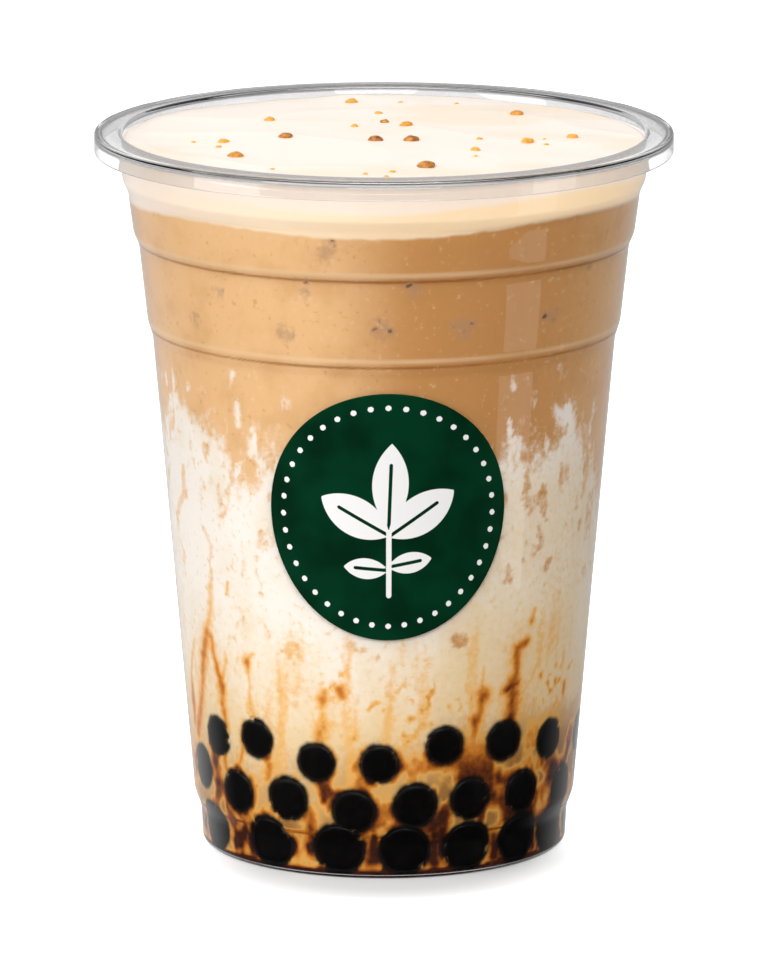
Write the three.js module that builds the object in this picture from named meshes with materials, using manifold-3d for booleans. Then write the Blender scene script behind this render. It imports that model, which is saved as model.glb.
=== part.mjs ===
// A bubble tea in a clear takeaway cup of about half a litre, with no lid and no straw.
// From the foot up: tapioca pearls, milk, milk tea and a cap of milk foam with crumbs on it.
// A round label lies on the front of the cup. Each of these is one closed solid.
// Millimetres, +Z up. The origin is the centre of the foot, on the table. The label faces -Y.
import * as THREE from "three";
import { mergeVertices } from "three/addons/utils/BufferGeometryUtils.js";
import Module from "manifold-3d";

const wasm = await Module();
wasm.setup();

// The cup: a 98 mm rim on a tapered, thermoformed wall.
const CUP_HEIGHT = 122.8;
const RIM_RADIUS = 49;
const SKIRT_BOTTOM = 119.4;
const WALL = 0.6;
const FOOT_INNER_RADIUS = 27.4;
const FOOT_RADIUS = 30.2;
const PUNT_RADIUS = 26.4;
const PUNT_HEIGHT = 1;
const FOOT_CORNER = 0.8;

// The outside of the wall as [height, radius]. Each short pair is a step that stiffens the cup.
const WALL_LINE = [
  [FOOT_CORNER, 31],
  [6.2, 31.3],
  [9.2, 32.4],
  [87.4, 39.2],
  [91.4, 40.2],
  [103.4, 41.5],
  [105.8, 42.45],
  [113, 43.4],
  [115, 44.4],
  [121.4, 44.4],
];

// Sides of round things, the gap between pieces that touch, and the size of flaw smoothed away.
const SIDES = 48;
const GAP = 0.3;
const SLAB_RADIUS = 60;
const FLAW = 0.08;

// Tapioca pearls. Those at the wall are pressed a little flat by it.
const PEARL_RADIUS = 4.1;
const PEARL_FLAT = 3.3;
const HEAP_SIDES = 18;
const PEARLS_ROUND = 18;
// Each row of pearls at the wall: its height and the azimuth of its first pearl in degrees.
const PEARL_ROWS = [
  { height: 6.1, first: 6 },
  { height: 13.3, first: -9.5 },
  { height: 21.3, first: -1.3 },
];
const PEARL_LIFT = 1.3;
const HEAP_TOP = 21;

// Heights of the faces between the drink's layers, at the wall.
const FOAM_LINE = 112.9;
const TEA_LINE = 76;
const FOAM_TOP = 121.1;
const FOAM_DOME = 0.6;
const FOAM_RINGS = [0, 7, 14, 21, 28, 35, 41];

// The label, an oval that looks round on the tapered wall, and the height of its centre.
const LABEL_HALF_WIDTH = 20.4;
const LABEL_HALF_HEIGHT = 21.4;
const LABEL_HEIGHT = 63.8;
const LABEL_AZIMUTH = 1.1;
const LABEL_THICKNESS = 0.25;
const LABEL_GAP = 0.15;
const LABEL_COLUMNS = 26;

// Crumbs of brown sugar on the foam: [x, y, radius]. Each is a little flat and half sunk.
const CRUMB_FLAT = 0.7;
const CRUMBS = [
  [7.2, -27, 1.5],
  [4.7, -7, 1.35],
  [-25, -18, 1.25],
  [-5.4, 27.5, 1.1],
  [-1.4, -7.2, 1.1],
  [-16.6, -4.8, 1.1],
  [22.4, 15, 1.1],
  [-27, -6.3, 1.05],
  [3.8, 4.6, 1],
  [24.4, -8.5, 1],
  [0, 8, 0.85],
  [31.8, -4.1, 0.85],
  [15.6, -15, 0.8],
  [-19.3, 10, 0.8],
];

const radians = (degrees) => (degrees * Math.PI) / 180;

// Radius of the outside of the wall at a height, along WALL_LINE.
function wallRadius(z) {
  const above = WALL_LINE.findIndex(([height]) => height >= z);
  if (above === 0) return WALL_LINE[0][1];
  if (above < 0) return WALL_LINE.at(-1)[1];
  const [z0, r0] = WALL_LINE[above - 1];
  const [z1, r1] = WALL_LINE[above];
  return r0 + ((r1 - r0) * (z - z0)) / (z1 - z0);
}

const insideRadius = (z) => wallRadius(z) - WALL - GAP;

// A geometry as a solid: only positions are kept, shared corners merged, flat triangles dropped.
function solidOf(geometry) {
  const bare = new THREE.BufferGeometry();
  bare.setAttribute("position", geometry.getAttribute("position"));
  if (geometry.index) bare.setIndex(geometry.index);
  const merged = mergeVertices(bare, 1e-3);
  const corners = merged.index.array;
  const kept = [];
  for (let i = 0; i < corners.length; i += 3) {
    const [a, b, c] = corners.slice(i, i + 3);
    if (a !== b && b !== c && c !== a) kept.push(a, b, c);
  }
  return new wasm.Manifold(
    new wasm.Mesh({
      numProp: 3,
      vertProperties: merged.attributes.position.array,
      triVerts: new Uint32Array(kept),
    }),
  );
}

// The main body of a solid, with small flaws smoothed away and loose slivers left out.
function mainBody(solid) {
  const pieces = solid.simplify(FLAW).decompose();
  return pieces.reduce((largest, piece) => (piece.volume() > largest.volume() ? piece : largest));
}

// A solid as a named mesh with flat faces.
function meshOf(name, solid, material) {
  const made = mainBody(solid).getMesh();
  const geometry = new THREE.BufferGeometry();
  geometry.setAttribute("position", new THREE.BufferAttribute(made.vertProperties, 3));
  geometry.setIndex(new THREE.BufferAttribute(made.triVerts, 1));
  const flat = geometry.toNonIndexed();
  flat.computeVertexNormals();
  const mesh = new THREE.Mesh(flat, material);
  mesh.name = name;
  return mesh;
}

// A solid of revolution from [radius, height] points that run up the outside from the axis.
// Azimuth 0 is the front, -Y, and it grows towards +X.
function turned(points, sides = SIDES) {
  const outline = points.map(([r, z]) => new THREE.Vector2(r, z));
  return solidOf(new THREE.LatheGeometry(outline, sides).rotateX(Math.PI / 2));
}

// A round slab, wider than the cup, whose two faces are heights worked out from radius and
// azimuth. Each face is { height, rings }, with the radii at which its height is worked out.
function slab(lower, upper) {
  const positions = [];
  const faces = [];
  const addRing = (height, radius) => {
    const start = positions.length / 3;
    for (let side = 0; side < SIDES; side++) {
      const azimuth = (side / SIDES) * 2 * Math.PI;
      const z = height(radius, azimuth);
      positions.push(radius * Math.sin(azimuth), -radius * Math.cos(azimuth), z);
    }
    return start;
  };
  const starts = [
    ...lower.rings.map((radius) => addRing(lower.height, radius)),
    addRing(lower.height, SLAB_RADIUS),
    addRing(upper.height, SLAB_RADIUS),
    ...upper.rings.toReversed().map((radius) => addRing(upper.height, radius)),
  ];
  for (let ring = 0; ring + 1 < starts.length; ring++) {
    for (let side = 0; side < SIDES; side++) {
      const next = (side + 1) % SIDES;
      const [here, there] = [starts[ring], starts[ring + 1]];
      faces.push(here + side, here + next, there + next);
      faces.push(here + side, there + next, there + side);
    }
  }
  const geometry = new THREE.BufferGeometry();
  geometry.setAttribute("position", new THREE.Float32BufferAttribute(positions, 3));
  geometry.setIndex(faces);
  return solidOf(geometry);
}

// A pearl pressed against the wall, a rounded ball of 80 faces made shallow along the radius.
function wallPearl(azimuth, height, margin) {
  const geometry = new THREE.IcosahedronGeometry(PEARL_RADIUS + margin, 1);
  const reach = insideRadius(height) - PEARL_FLAT;
  geometry.scale(1, PEARL_FLAT / PEARL_RADIUS, 1);
  geometry.rotateZ(azimuth);
  geometry.translate(reach * Math.sin(azimuth), -reach * Math.cos(azimuth), height);
  return solidOf(geometry);
}

// A crumb of 20 faces, a little flat, that sits low in the foam.
function crumb(x, y, radius) {
  const geometry = new THREE.IcosahedronGeometry(radius);
  const surface = foamTop(Math.hypot(x, y), Math.atan2(x, -y));
  geometry.scale(1, 1, CRUMB_FLAT);
  geometry.translate(x, y, surface);
  return solidOf(geometry);
}

// Where the foam meets the tea, and the tea the milk: waves round the cup that fade to its axis.
function foamLine(radius, azimuth) {
  const wave = 0.6 * Math.sin(azimuth) - 0.6 * Math.cos(4 * azimuth);
  return FOAM_LINE + wave * Math.min(1, radius / wallRadius(FOAM_LINE));
}

function teaLine(radius, azimuth) {
  const slow = 2.6 * Math.sin(5 * azimuth + 2.2) + 1.6 * Math.sin(2 * azimuth + 3.6);
  const fingers = 1.8 * Math.sin(11 * azimuth + 0.7);
  return TEA_LINE + (slow + fingers) * Math.min(1, radius / wallRadius(TEA_LINE));
}

// The top of the foam: a slight dome with spoon ripples that curl round the axis.
function foamTop(radius, azimuth) {
  const share = Math.min(1, radius / insideRadius(FOAM_TOP));
  const ripple = 0.28 * Math.sin(radius * 0.42 + 2 * azimuth) * share;
  const rim = 0.25 * Math.sin(7 * azimuth + 0.4) * share ** 4;
  return FOAM_TOP + FOAM_DOME * (1 - share ** 2) + ripple + rim;
}

// The cup, turned from one outline: up the outside, over the rim, down the inside.
function cupSolid() {
  const outside = WALL_LINE.map(([z, r]) => [r, z]);
  const inside = outside.map(([r, z]) => [r - WALL, z]).reverse();
  const neck = wallRadius(CUP_HEIGHT);
  const flangeUnder = CUP_HEIGHT - WALL;
  const foot = [
    [0, PUNT_HEIGHT],
    [PUNT_RADIUS, PUNT_HEIGHT],
    [FOOT_INNER_RADIUS, 0],
    [FOOT_RADIUS, 0],
    [FOOT_RADIUS + 0.55, 0.25],
  ];
  const rim = [
    [neck + 0.5, flangeUnder],
    [RIM_RADIUS - WALL - 0.4, flangeUnder],
    [RIM_RADIUS - WALL, flangeUnder - 0.4],
    [RIM_RADIUS - WALL, SKIRT_BOTTOM],
    [RIM_RADIUS, SKIRT_BOTTOM],
    [RIM_RADIUS, CUP_HEIGHT - 0.6],
    [RIM_RADIUS - 0.6, CUP_HEIGHT],
    [neck + 0.7, CUP_HEIGHT],
    [neck - 0.2, CUP_HEIGHT - 0.35],
  ];
  const floor = [
    [FOOT_RADIUS - 0.4, WALL],
    [FOOT_INNER_RADIUS + 0.3, WALL],
    [PUNT_RADIUS + 0.3, PUNT_HEIGHT + WALL],
    [0, PUNT_HEIGHT + WALL],
  ];
  return turned([...foot, ...outside, ...rim, ...inside, ...floor]);
}

// The room inside the cup, less the gap, up to a plane above the rim.
function roomSolid() {
  const floor = [
    [0, PUNT_HEIGHT + WALL + GAP],
    [PUNT_RADIUS + 0.45, PUNT_HEIGHT + WALL + GAP],
    [FOOT_INNER_RADIUS + 0.45, WALL + GAP],
    [FOOT_RADIUS - 0.8, WALL + GAP],
  ];
  const side = WALL_LINE.slice(1).map(([z, r]) => [r - WALL - GAP, z]);
  const lowest = WALL_LINE[0];
  const corner = [lowest[1] - WALL - GAP, lowest[0] + WALL + GAP];
  const top = CUP_HEIGHT + 2;
  const neck = insideRadius(top);
  return turned([...floor, corner, ...side, [neck, top], [0, top]]);
}

// The heap of pearls, grown by a margin: a core, and rows of pearls that stand out to the wall.
function heapSolid(margin) {
  const coreRadius = (z) => insideRadius(z) - PEARL_FLAT + margin;
  const shoulderTop = WALL_LINE[2][0];
  const bottom = PUNT_HEIGHT + WALL + GAP;
  const top = HEAP_TOP + margin;
  const outline = [
    [0, bottom],
    [coreRadius(bottom) - PEARL_FLAT, bottom],
    [coreRadius(bottom), bottom + PEARL_FLAT / 2],
    [coreRadius(shoulderTop), shoulderTop],
    [coreRadius(top), top],
    [0, top],
  ];
  const core = turned(outline, HEAP_SIDES);
  const pearls = PEARL_ROWS.flatMap(({ height, first }, row) =>
    Array.from({ length: PEARLS_ROUND }, (_, i) => {
      const azimuth = radians(first + (i * 360) / PEARLS_ROUND);
      const lift = row * 0.5 * PEARL_LIFT * Math.sin(4 * azimuth - 1.2 - row);
      return wallPearl(azimuth, height + lift, margin);
    }),
  );
  return pearls.reduce((whole, pearl) => whole.add(pearl), core);
}

// The foam with its crumbs fused on.
function foamSolid(room) {
  const under = { height: (radius, azimuth) => foamLine(radius, azimuth) + GAP / 2, rings: [0] };
  const top = { height: foamTop, rings: FOAM_RINGS };
  const cap = room.intersect(slab(under, top));
  return CRUMBS.reduce((whole, [x, y, radius]) => whole.add(crumb(x, y, radius)), cap);
}

function teaSolid(room) {
  const under = { height: (radius, azimuth) => teaLine(radius, azimuth) + GAP / 2, rings: [0] };
  const top = { height: (radius, azimuth) => foamLine(radius, azimuth) - GAP / 2, rings: [0] };
  return room.intersect(slab(under, top));
}

// The milk, cut round the pearls that stand above the heap's core.
function milkSolid(room) {
  const under = { height: () => HEAP_TOP + GAP, rings: [0] };
  const top = { height: (radius, azimuth) => teaLine(radius, azimuth) - GAP / 2, rings: [0] };
  return room.intersect(slab(under, top)).subtract(heapSolid(GAP));
}

// The label: two oval faces that follow the cone of the wall, with an edge between them.
function labelSolid() {
  const outline = [];
  const columns = LABEL_COLUMNS;
  for (let i = 0; i <= columns; i++) {
    const turn = (i / columns) * Math.PI;
    outline.push([-LABEL_HALF_WIDTH * Math.cos(turn), LABEL_HALF_HEIGHT * Math.sin(turn)]);
  }
  for (let i = columns - 1; i > 0; i--) outline.push([outline[i][0], -outline[i][1]]);
  const count = outline.length;
  const positions = [];
  for (const out of [LABEL_GAP, LABEL_GAP + LABEL_THICKNESS]) {
    for (const [across, up] of outline) {
      const azimuth = radians(LABEL_AZIMUTH) + across / wallRadius(LABEL_HEIGHT);
      const radius = wallRadius(LABEL_HEIGHT + up) + out;
      positions.push(radius * Math.sin(azimuth), -radius * Math.cos(azimuth), LABEL_HEIGHT + up);
    }
  }
  const faces = [];
  const mirror = (i) => (count - i) % count;
  const both = (a, b, c) => faces.push(a, b, c, count + a, count + c, count + b);
  for (let i = 0; i < columns; i++) {
    if (i + 1 < columns) both(i, i + 1, mirror(i + 1));
    if (i > 0) both(i, mirror(i + 1), mirror(i));
  }
  for (let i = 0; i < count; i++) {
    const next = (i + 1) % count;
    faces.push(i, count + i, count + next, i, count + next, next);
  }
  const geometry = new THREE.BufferGeometry();
  geometry.setAttribute("position", new THREE.Float32BufferAttribute(positions, 3));
  geometry.setIndex(faces);
  return solidOf(geometry);
}

const clearPlastic = new THREE.MeshStandardMaterial({
  color: "#e9eef0",
  roughness: 0.08,
  metalness: 0,
  transparent: true,
  opacity: 0.3,
});
const greenInk = new THREE.MeshStandardMaterial({ color: "#06402b", roughness: 0.4 });
const tapioca = new THREE.MeshStandardMaterial({ color: "#120c0a", roughness: 0.25 });
const whiteMilk = new THREE.MeshStandardMaterial({ color: "#eadbc0", roughness: 0.45 });
const tanTea = new THREE.MeshStandardMaterial({ color: "#d3a26c", roughness: 0.45 });
const creamFoam = new THREE.MeshStandardMaterial({ color: "#fbf1e2", roughness: 0.6 });

const room = roomSolid();
const contents = new THREE.Group();
contents.add(
  meshOf("tapioca_pearls", heapSolid(0), tapioca),
  meshOf("milk", milkSolid(room), whiteMilk),
  meshOf("milk_tea", teaSolid(room), tanTea),
  meshOf("milk_foam", foamSolid(room), creamFoam),
);

const bubbleTea = new THREE.Group();
bubbleTea.add(
  meshOf("cup", cupSolid(), clearPlastic),
  meshOf("label", labelSolid(), greenInk),
  contents,
);

export default bubbleTea;
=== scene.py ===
# %% [markdown]
# # Bubble tea in a clear cup
#
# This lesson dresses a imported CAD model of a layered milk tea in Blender. Read it from top to
# bottom as a notebook: each step says what the real thing is, how it could be made, and why it is
# made this way. Every shape is a surface worked out with numpy, in millimetres, and turned into
# metres when it becomes a mesh.

# %% The frame
import math

import bpy
import numpy as np
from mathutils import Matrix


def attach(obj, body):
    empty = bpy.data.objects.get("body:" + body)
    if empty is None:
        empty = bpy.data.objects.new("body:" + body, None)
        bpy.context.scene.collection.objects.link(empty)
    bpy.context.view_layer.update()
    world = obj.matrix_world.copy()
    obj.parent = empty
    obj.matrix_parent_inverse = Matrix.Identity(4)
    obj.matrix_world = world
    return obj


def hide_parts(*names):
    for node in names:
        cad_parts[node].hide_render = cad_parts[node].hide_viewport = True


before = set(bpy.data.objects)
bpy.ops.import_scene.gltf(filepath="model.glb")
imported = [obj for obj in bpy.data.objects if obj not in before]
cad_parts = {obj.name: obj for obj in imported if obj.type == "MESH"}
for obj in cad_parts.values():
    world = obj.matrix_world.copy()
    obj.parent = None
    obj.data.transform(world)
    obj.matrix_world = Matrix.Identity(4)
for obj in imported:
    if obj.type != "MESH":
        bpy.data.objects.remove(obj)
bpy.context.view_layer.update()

MM = 0.001
scene = bpy.context.scene

# %% [markdown]
# ## The camera
#
# The photograph is taken from far away with a long lens, a little above the cup. Its rim is an
# ellipse whose height over width gives the elevation, and how much the near half is larger than
# the far half gives the distance. The camera comes first, because several pieces are placed where
# a line of sight through a pixel of the photograph meets the cup.

# %% Camera
PHOTO_HEIGHT = 960
PHOTO_CENTRE_U = 384.5
CAMERA_DISTANCE = 1800.0
CAMERA_ELEVATION = math.radians(11.87)
LOOK_AT_HEIGHT = 62.38
FOCAL_PIXELS = 10575.0
SENSOR_MM = 36.0

camera_data = bpy.data.cameras.new("camera")
camera_data.sensor_width = SENSOR_MM
camera_data.lens = FOCAL_PIXELS * SENSOR_MM / PHOTO_HEIGHT
camera_data.clip_start = 0.1
camera_data.clip_end = 20.0
camera = bpy.data.objects.new("camera", camera_data)
scene.collection.objects.link(camera)
camera.location = (
    0,
    -CAMERA_DISTANCE * math.cos(CAMERA_ELEVATION) * MM,
    (LOOK_AT_HEIGHT + CAMERA_DISTANCE * math.sin(CAMERA_ELEVATION)) * MM,
)
camera.rotation_euler = (math.radians(90) - CAMERA_ELEVATION, 0, 0)
scene.camera = camera
print("Lens in mm:", round(camera_data.lens, 1))


def sight(u, v, far):
    """Point at a distance along the line of sight through photo pixel (u, v).

    The camera's own right, up and forward directions are added in proportion to how far the
    pixel lies from the middle of the photograph. Works on whole arrays of pixels."""
    sine, cosine = math.sin(CAMERA_ELEVATION), math.cos(CAMERA_ELEVATION)
    right = (np.asarray(u, float) - PHOTO_CENTRE_U) / FOCAL_PIXELS
    up = (PHOTO_HEIGHT / 2 - np.asarray(v, float)) / FOCAL_PIXELS
    x = right * far
    y = -CAMERA_DISTANCE * cosine + (cosine + up * sine) * far
    z = LOOK_AT_HEIGHT + CAMERA_DISTANCE * sine + (up * cosine - sine) * far
    return x, y, z


# %% [markdown]
# ## The wall's outline
#
# A thermoformed cup is a sheet of clear PET drawn into a mould, so every height has one radius
# and short slopes stiffen the wall. One list of heights and radii is enough for the cup, and the
# same list tells the drink, the pearls and the label where the wall is.

# %% Wall
CUP_HEIGHT = 122.8
RIM_RADIUS = 49.0
SKIRT_BOTTOM = 119.4
WALL = 0.6
WALL_HEIGHTS = np.array([0.8, 6.2, 9.2, 87.9, 90.6, 103.9, 105.8, 113.0, 115.0, 121.4])
WALL_RADII = np.array([31.0, 31.3, 32.4, 39.23, 40.1, 41.55, 42.45, 43.4, 44.4, 44.4])
# What fills the cup reaches this far into the wall, so that no air shows between them.
WET = 0.12


def wall_radius(z):
    """Outside radius of the wall at height z: straight lines between the listed heights."""
    return np.interp(z, WALL_HEIGHTS, WALL_RADII)


def wet_radius(z):
    """Radius of what wets the wall: the inner face of the wall plus a little."""
    return wall_radius(z) - WALL + WET


def on_wall(u, v):
    """Azimuth in radians and height of the wall's inner face behind photo pixel (u, v).

    The line of sight is followed until its distance from the axis is the wall's radius. A few
    steps of bisection between a point before the cup and its axis find that place."""
    near = np.full(np.shape(u), CAMERA_DISTANCE - 60.0)
    far = np.full(np.shape(u), CAMERA_DISTANCE + 4.0)
    for _ in range(24):
        middle = (near + far) / 2
        x, y, z = sight(u, v, middle)
        outside = np.hypot(x, y) > wet_radius(z)
        near = np.where(outside, middle, near)
        far = np.where(outside, far, middle)
    x, y, z = sight(u, v, far)
    return np.arctan2(x, -y), z


print("Wall radius at mid height:", round(float(wall_radius(60)), 2))

# %% [markdown]
# ## Skins
#
# Everything here is a closed skin: rings of points from a lower pole to an upper pole. A lathe
# would also make the cup, but the foam, the pearls and the crumbs are uneven, so one function
# turns any stack of rings into a mesh. The first and last ring shrink to a point, which closes
# the skin, and the order of the corners makes all faces point outwards.

# %% Skins
TURN = 2 * math.pi


def turns(count):
    """Angles once round, evenly spaced."""
    return np.arange(count) / count * TURN


def ring_corners(rings, columns):
    """Corner numbers of a skin's faces and the start of each face in that list.

    Quads join ring to ring, and triangles join the first and last full ring to the poles."""
    column = np.arange(columns)
    following = (column + 1) % columns
    base = 1 + np.arange(rings - 3)[:, None] * columns
    above = base + columns
    quads = np.stack([base + column, base + following, above + following, above + column], -1)
    top = 1 + (rings - 2) * columns
    last = top - columns
    lower = np.stack([np.zeros(columns, int), 1 + following, 1 + column], -1)
    upper = np.stack([last + column, last + following, np.full(columns, top)], -1)
    corners = np.concatenate([lower.ravel(), quads.ravel(), upper.ravel()])
    sizes = np.concatenate([[3] * columns, [4] * (quads.size // 4), [3] * columns]).astype(int)
    return corners, sizes, top + 1


def skin(name, rings):
    """A mesh object from an array of rings, or from a stack of such arrays for many skins.

    The array's axes are (skin,) ring, column and x, y, z in millimetres."""
    rings = np.asarray(rings, float)
    rings = rings[None] if rings.ndim == 3 else rings
    skins, count, columns = rings.shape[:3]
    corners, sizes, points_each = ring_corners(count, columns)
    poles = rings[:, [0, -1]].mean(axis=2)
    inner = rings[:, 1:-1].reshape(skins, -1, 3)
    points = np.concatenate([poles[:, :1], inner, poles[:, 1:]], axis=1)
    all_corners = (np.arange(skins)[:, None] * points_each + corners).ravel()
    all_sizes = np.tile(sizes, skins)
    mesh = bpy.data.meshes.new(name)
    mesh.vertices.add(skins * points_each)
    mesh.vertices.foreach_set("co", (points * MM).ravel())
    mesh.loops.add(len(all_corners))
    mesh.loops.foreach_set("vertex_index", all_corners)
    mesh.polygons.add(len(all_sizes))
    mesh.polygons.foreach_set("loop_start", np.cumsum(all_sizes) - all_sizes)
    mesh.polygons.foreach_set("use_smooth", np.ones(len(all_sizes), bool))
    mesh.update(calc_edges=True)
    mesh.validate()
    piece = bpy.data.objects.new(name, mesh)
    scene.collection.objects.link(piece)
    triangles = int((all_sizes - 2).sum())
    print(f"{name}: {triangles} triangles")
    return piece


def paint(piece, name, values):
    """Stores one number for each ring point as a named attribute that a material can read."""
    values = np.asarray(values, float)
    values = values[None] if values.ndim == 2 else values
    poles = values[:, [0, -1]].mean(axis=2)
    inner = values[:, 1:-1].reshape(len(values), -1)
    flat = np.concatenate([poles[:, :1], inner, poles[:, 1:]], axis=1).ravel()
    layer = piece.data.attributes.new(name, "FLOAT", "POINT")
    layer.data.foreach_set("value", flat)


def around(radius, azimuth, z):
    """Points x, y, z from radius, azimuth and height. Azimuth 0 is the front and grows to +X."""
    return np.stack(np.broadcast_arrays(radius * np.sin(azimuth), -radius * np.cos(azimuth), z), -1)


def round_ball(rings, columns):
    """Points of a ball of radius 1, in rings from its lower pole to its upper one."""
    polar = np.linspace(0, math.pi, rings)[:, None]
    lap = turns(columns)
    x, y = np.sin(polar) * np.cos(lap), np.sin(polar) * np.sin(lap)
    return np.stack(np.broadcast_arrays(x, y, -np.cos(polar)), -1)


def softened(outline, soft, step):
    """An outline of [radius, height] points with round corners and points along its stretches.

    Each corner becomes a Bezier arc that starts and ends a little way along its two sides, and
    the straight stretches get a point every step, read off the outline by its length."""
    outline = np.asarray(outline, float)
    before, corner, after = outline[:-2], outline[1:-1], outline[2:]
    reach_before = np.hypot(*(before - corner).T)[:, None]
    reach_after = np.hypot(*(after - corner).T)[:, None]
    cut = np.minimum(soft, 0.4 * np.minimum(reach_before, reach_after))
    start = corner + (before - corner) / reach_before * cut
    end = corner + (after - corner) / reach_after * cut
    t = np.linspace(0, 1, 6)[None, :, None]
    arcs = (1 - t) ** 2 * start[:, None] + 2 * t * (1 - t) * corner[:, None] + t**2 * end[:, None]
    line = np.concatenate([outline[:1], arcs.reshape(-1, 2), outline[-1:]])
    length = np.concatenate([[0], np.cumsum(np.hypot(*np.diff(line, axis=0).T))])
    even = np.arange(step, length[-1], step)
    clear = np.abs(even[:, None] - length[None]).min(axis=1) > 0.4
    marks = np.sort(np.concatenate([length, even[clear]]))
    return np.stack([np.interp(marks, length, line[:, 0]), np.interp(marks, length, line[:, 1])], 1)


# %% [markdown]
# ## Noise that closes round the cup
#
# Marbled milk, foam and wear are uneven at several sizes. Blender's noise node would do inside a
# material, but shapes and masks need the same noise as numbers, so it is made here: random values
# on a lattice that wraps round the cup, blended smoothly, with finer and fainter copies on top.

# %% Noise
WRAP_RADIUS = 38.0


def smooth(low, high, value):
    """0 below low, 1 above high, with an S curve between: 3t squared minus 2t cubed."""
    t = np.clip((value - low) / (high - low), 0, 1)
    return t * t * (3 - 2 * t)


def cells(x, z, across, up, seed):
    """Smooth noise from 0 to 1 with cells so many millimetres across and up.

    x is a length along the wall at the wrap radius, and the lattice closes after one turn."""
    count = max(3, int(round(TURN * WRAP_RADIUS / across)))
    rows = int(200 / up) + 4
    lattice = np.random.default_rng(seed).random((rows, count))
    column = (np.asarray(x) / (TURN * WRAP_RADIUS) % 1) * count
    row = np.clip((np.asarray(z) + 60) / up, 0, rows - 2)
    c0 = np.floor(column).astype(int) % count
    r0 = np.floor(row).astype(int)
    ct = smooth(0, 1, column - np.floor(column))
    rt = smooth(0, 1, row - r0)
    c1 = (c0 + 1) % count
    low = lattice[r0, c0] * (1 - ct) + lattice[r0, c1] * ct
    high = lattice[r0 + 1, c0] * (1 - ct) + lattice[r0 + 1, c1] * ct
    return low * (1 - rt) + high * rt


def noise(x, z, across, up, seed, octaves=3):
    """Cells of one size plus copies at half the size and half the strength, scaled to 0 to 1."""
    shares = 0.5 ** np.arange(octaves)
    layers = [cells(x, z, across * share, up * share, seed + i) for i, share in enumerate(shares)]
    return sum(share * layer for share, layer in zip(shares, layers)) / shares.sum()


spread = noise(np.linspace(-100, 100, 500), 50.0, 5, 5, 1)
print("Noise runs from", round(float(spread.min()), 2), "to", round(float(spread.max()), 2))

# %% [markdown]
# ## Materials
#
# Each material is a Principled shader with its colours written as sRGB hex. Colours in a shader
# are linear, so one function turns hex to linear. One more small function adds a node, sets it
# and links it, which keeps each material readable as a list of steps.


# %% Material helpers
def linear(hex_colour):
    """sRGB hex to linear red, green, blue and alpha: ((c + 0.055) / 1.055) to the power 2.4."""
    channels = np.array([int(hex_colour[i : i + 2], 16) for i in (1, 3, 5)]) / 255
    curved = ((channels + 0.055) / 1.055) ** 2.4
    return (*np.where(channels <= 0.04045, channels / 12.92, curved).tolist(), 1.0)


def node(tree, kind, inputs=None, **settings):
    """Adds a shader node with its settings. An input gets an output to link, a number or a hex."""
    made = tree.nodes.new("ShaderNode" + kind)
    for setting, value in settings.items():
        setattr(made, setting, value)
    for socket, value in (inputs or {}).items():
        if isinstance(value, bpy.types.NodeSocket):
            tree.links.new(value, made.inputs[socket])
        else:
            made.inputs[socket].default_value = linear(value) if isinstance(value, str) else value
    return made


def empty_material(name):
    """A material with no nodes yet, and its node tree."""
    made = bpy.data.materials.new(name)
    made.use_nodes = True
    made.node_tree.nodes.clear()
    return made, made.node_tree


print("Milk white in linear light:", [round(c, 3) for c in linear("#f6ead8")[:3]])

# %% [markdown]
# ## The cup
#
# The cup is thermoformed PET, 0.4 to 0.6 mm thick: one outline turned round the axis, up the
# outside, over the flanged rim with its turned-down skirt, down the inside and across the raised
# base. Corners of a drawn sheet are never sharp, so the outline is softened. The sheet cools
# unevenly, and slight waves in it break up the reflections of the lamps, so the radius gets a few
# hundredths of a millimetre of noise on both faces alike.

# %% Cup shape
CUP_COLUMNS = 208
FOOT_INNER = 27.4
FOOT_OUTER = 30.2
PUNT_RADIUS = 26.4
PUNT_HEIGHT = 1.0
WAVE_DEPTH = 0.07
RIM_EDGE = 1.2
SHADE_ON_RIM = 0.34
SHADE_ON_NECK = 0.4

neck = wall_radius(CUP_HEIGHT)
outside = np.stack([WALL_RADII, WALL_HEIGHTS], 1)
cup_outline = softened(
    [
        [0, PUNT_HEIGHT],
        [PUNT_RADIUS, PUNT_HEIGHT],
        [FOOT_INNER, 0],
        [FOOT_OUTER, 0],
        *outside,
        [neck + 0.3, CUP_HEIGHT - WALL],
        [RIM_RADIUS - WALL, CUP_HEIGHT - WALL],
        [RIM_RADIUS - WALL, SKIRT_BOTTOM],
        [RIM_RADIUS, SKIRT_BOTTOM],
        [RIM_RADIUS, CUP_HEIGHT - RIM_EDGE],
        [RIM_RADIUS, CUP_HEIGHT],
        [RIM_RADIUS - RIM_EDGE, CUP_HEIGHT],
        [neck - 0.1, CUP_HEIGHT],
        *(outside[::-1] - [WALL, 0]),
        [FOOT_OUTER - 0.4, WALL],
        [FOOT_INNER + 0.3, WALL],
        [PUNT_RADIUS + 0.3, PUNT_HEIGHT + WALL],
        [0, PUNT_HEIGHT + WALL],
    ],
    soft=0.9,
    step=4.0,
)
turn = turns(CUP_COLUMNS)
cup_r, cup_z = cup_outline[:, :1], cup_outline[:, 1:]
on_side = smooth(8, 20, cup_z) * smooth(114, 100, cup_z)
cup_wave = (noise(turn * WRAP_RADIUS, cup_z, 16, 26, 5, 2) - 0.5) * 2 * WAVE_DEPTH * on_side
cup = skin("clear_cup", around(cup_r + cup_wave, turn, cup_z))
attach(cup, "root")
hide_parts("cup")
# Painted shade, partly the tint of thick plastic: a grey mask on the rim's top and the neck.
rim_top = smooth(CUP_HEIGHT - 1.2, CUP_HEIGHT - 0.4, cup_z)
neck_band = smooth(CUP_HEIGHT - 2.4, CUP_HEIGHT - 1.6, cup_z) * smooth(46.4, 45.6, cup_r)
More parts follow.
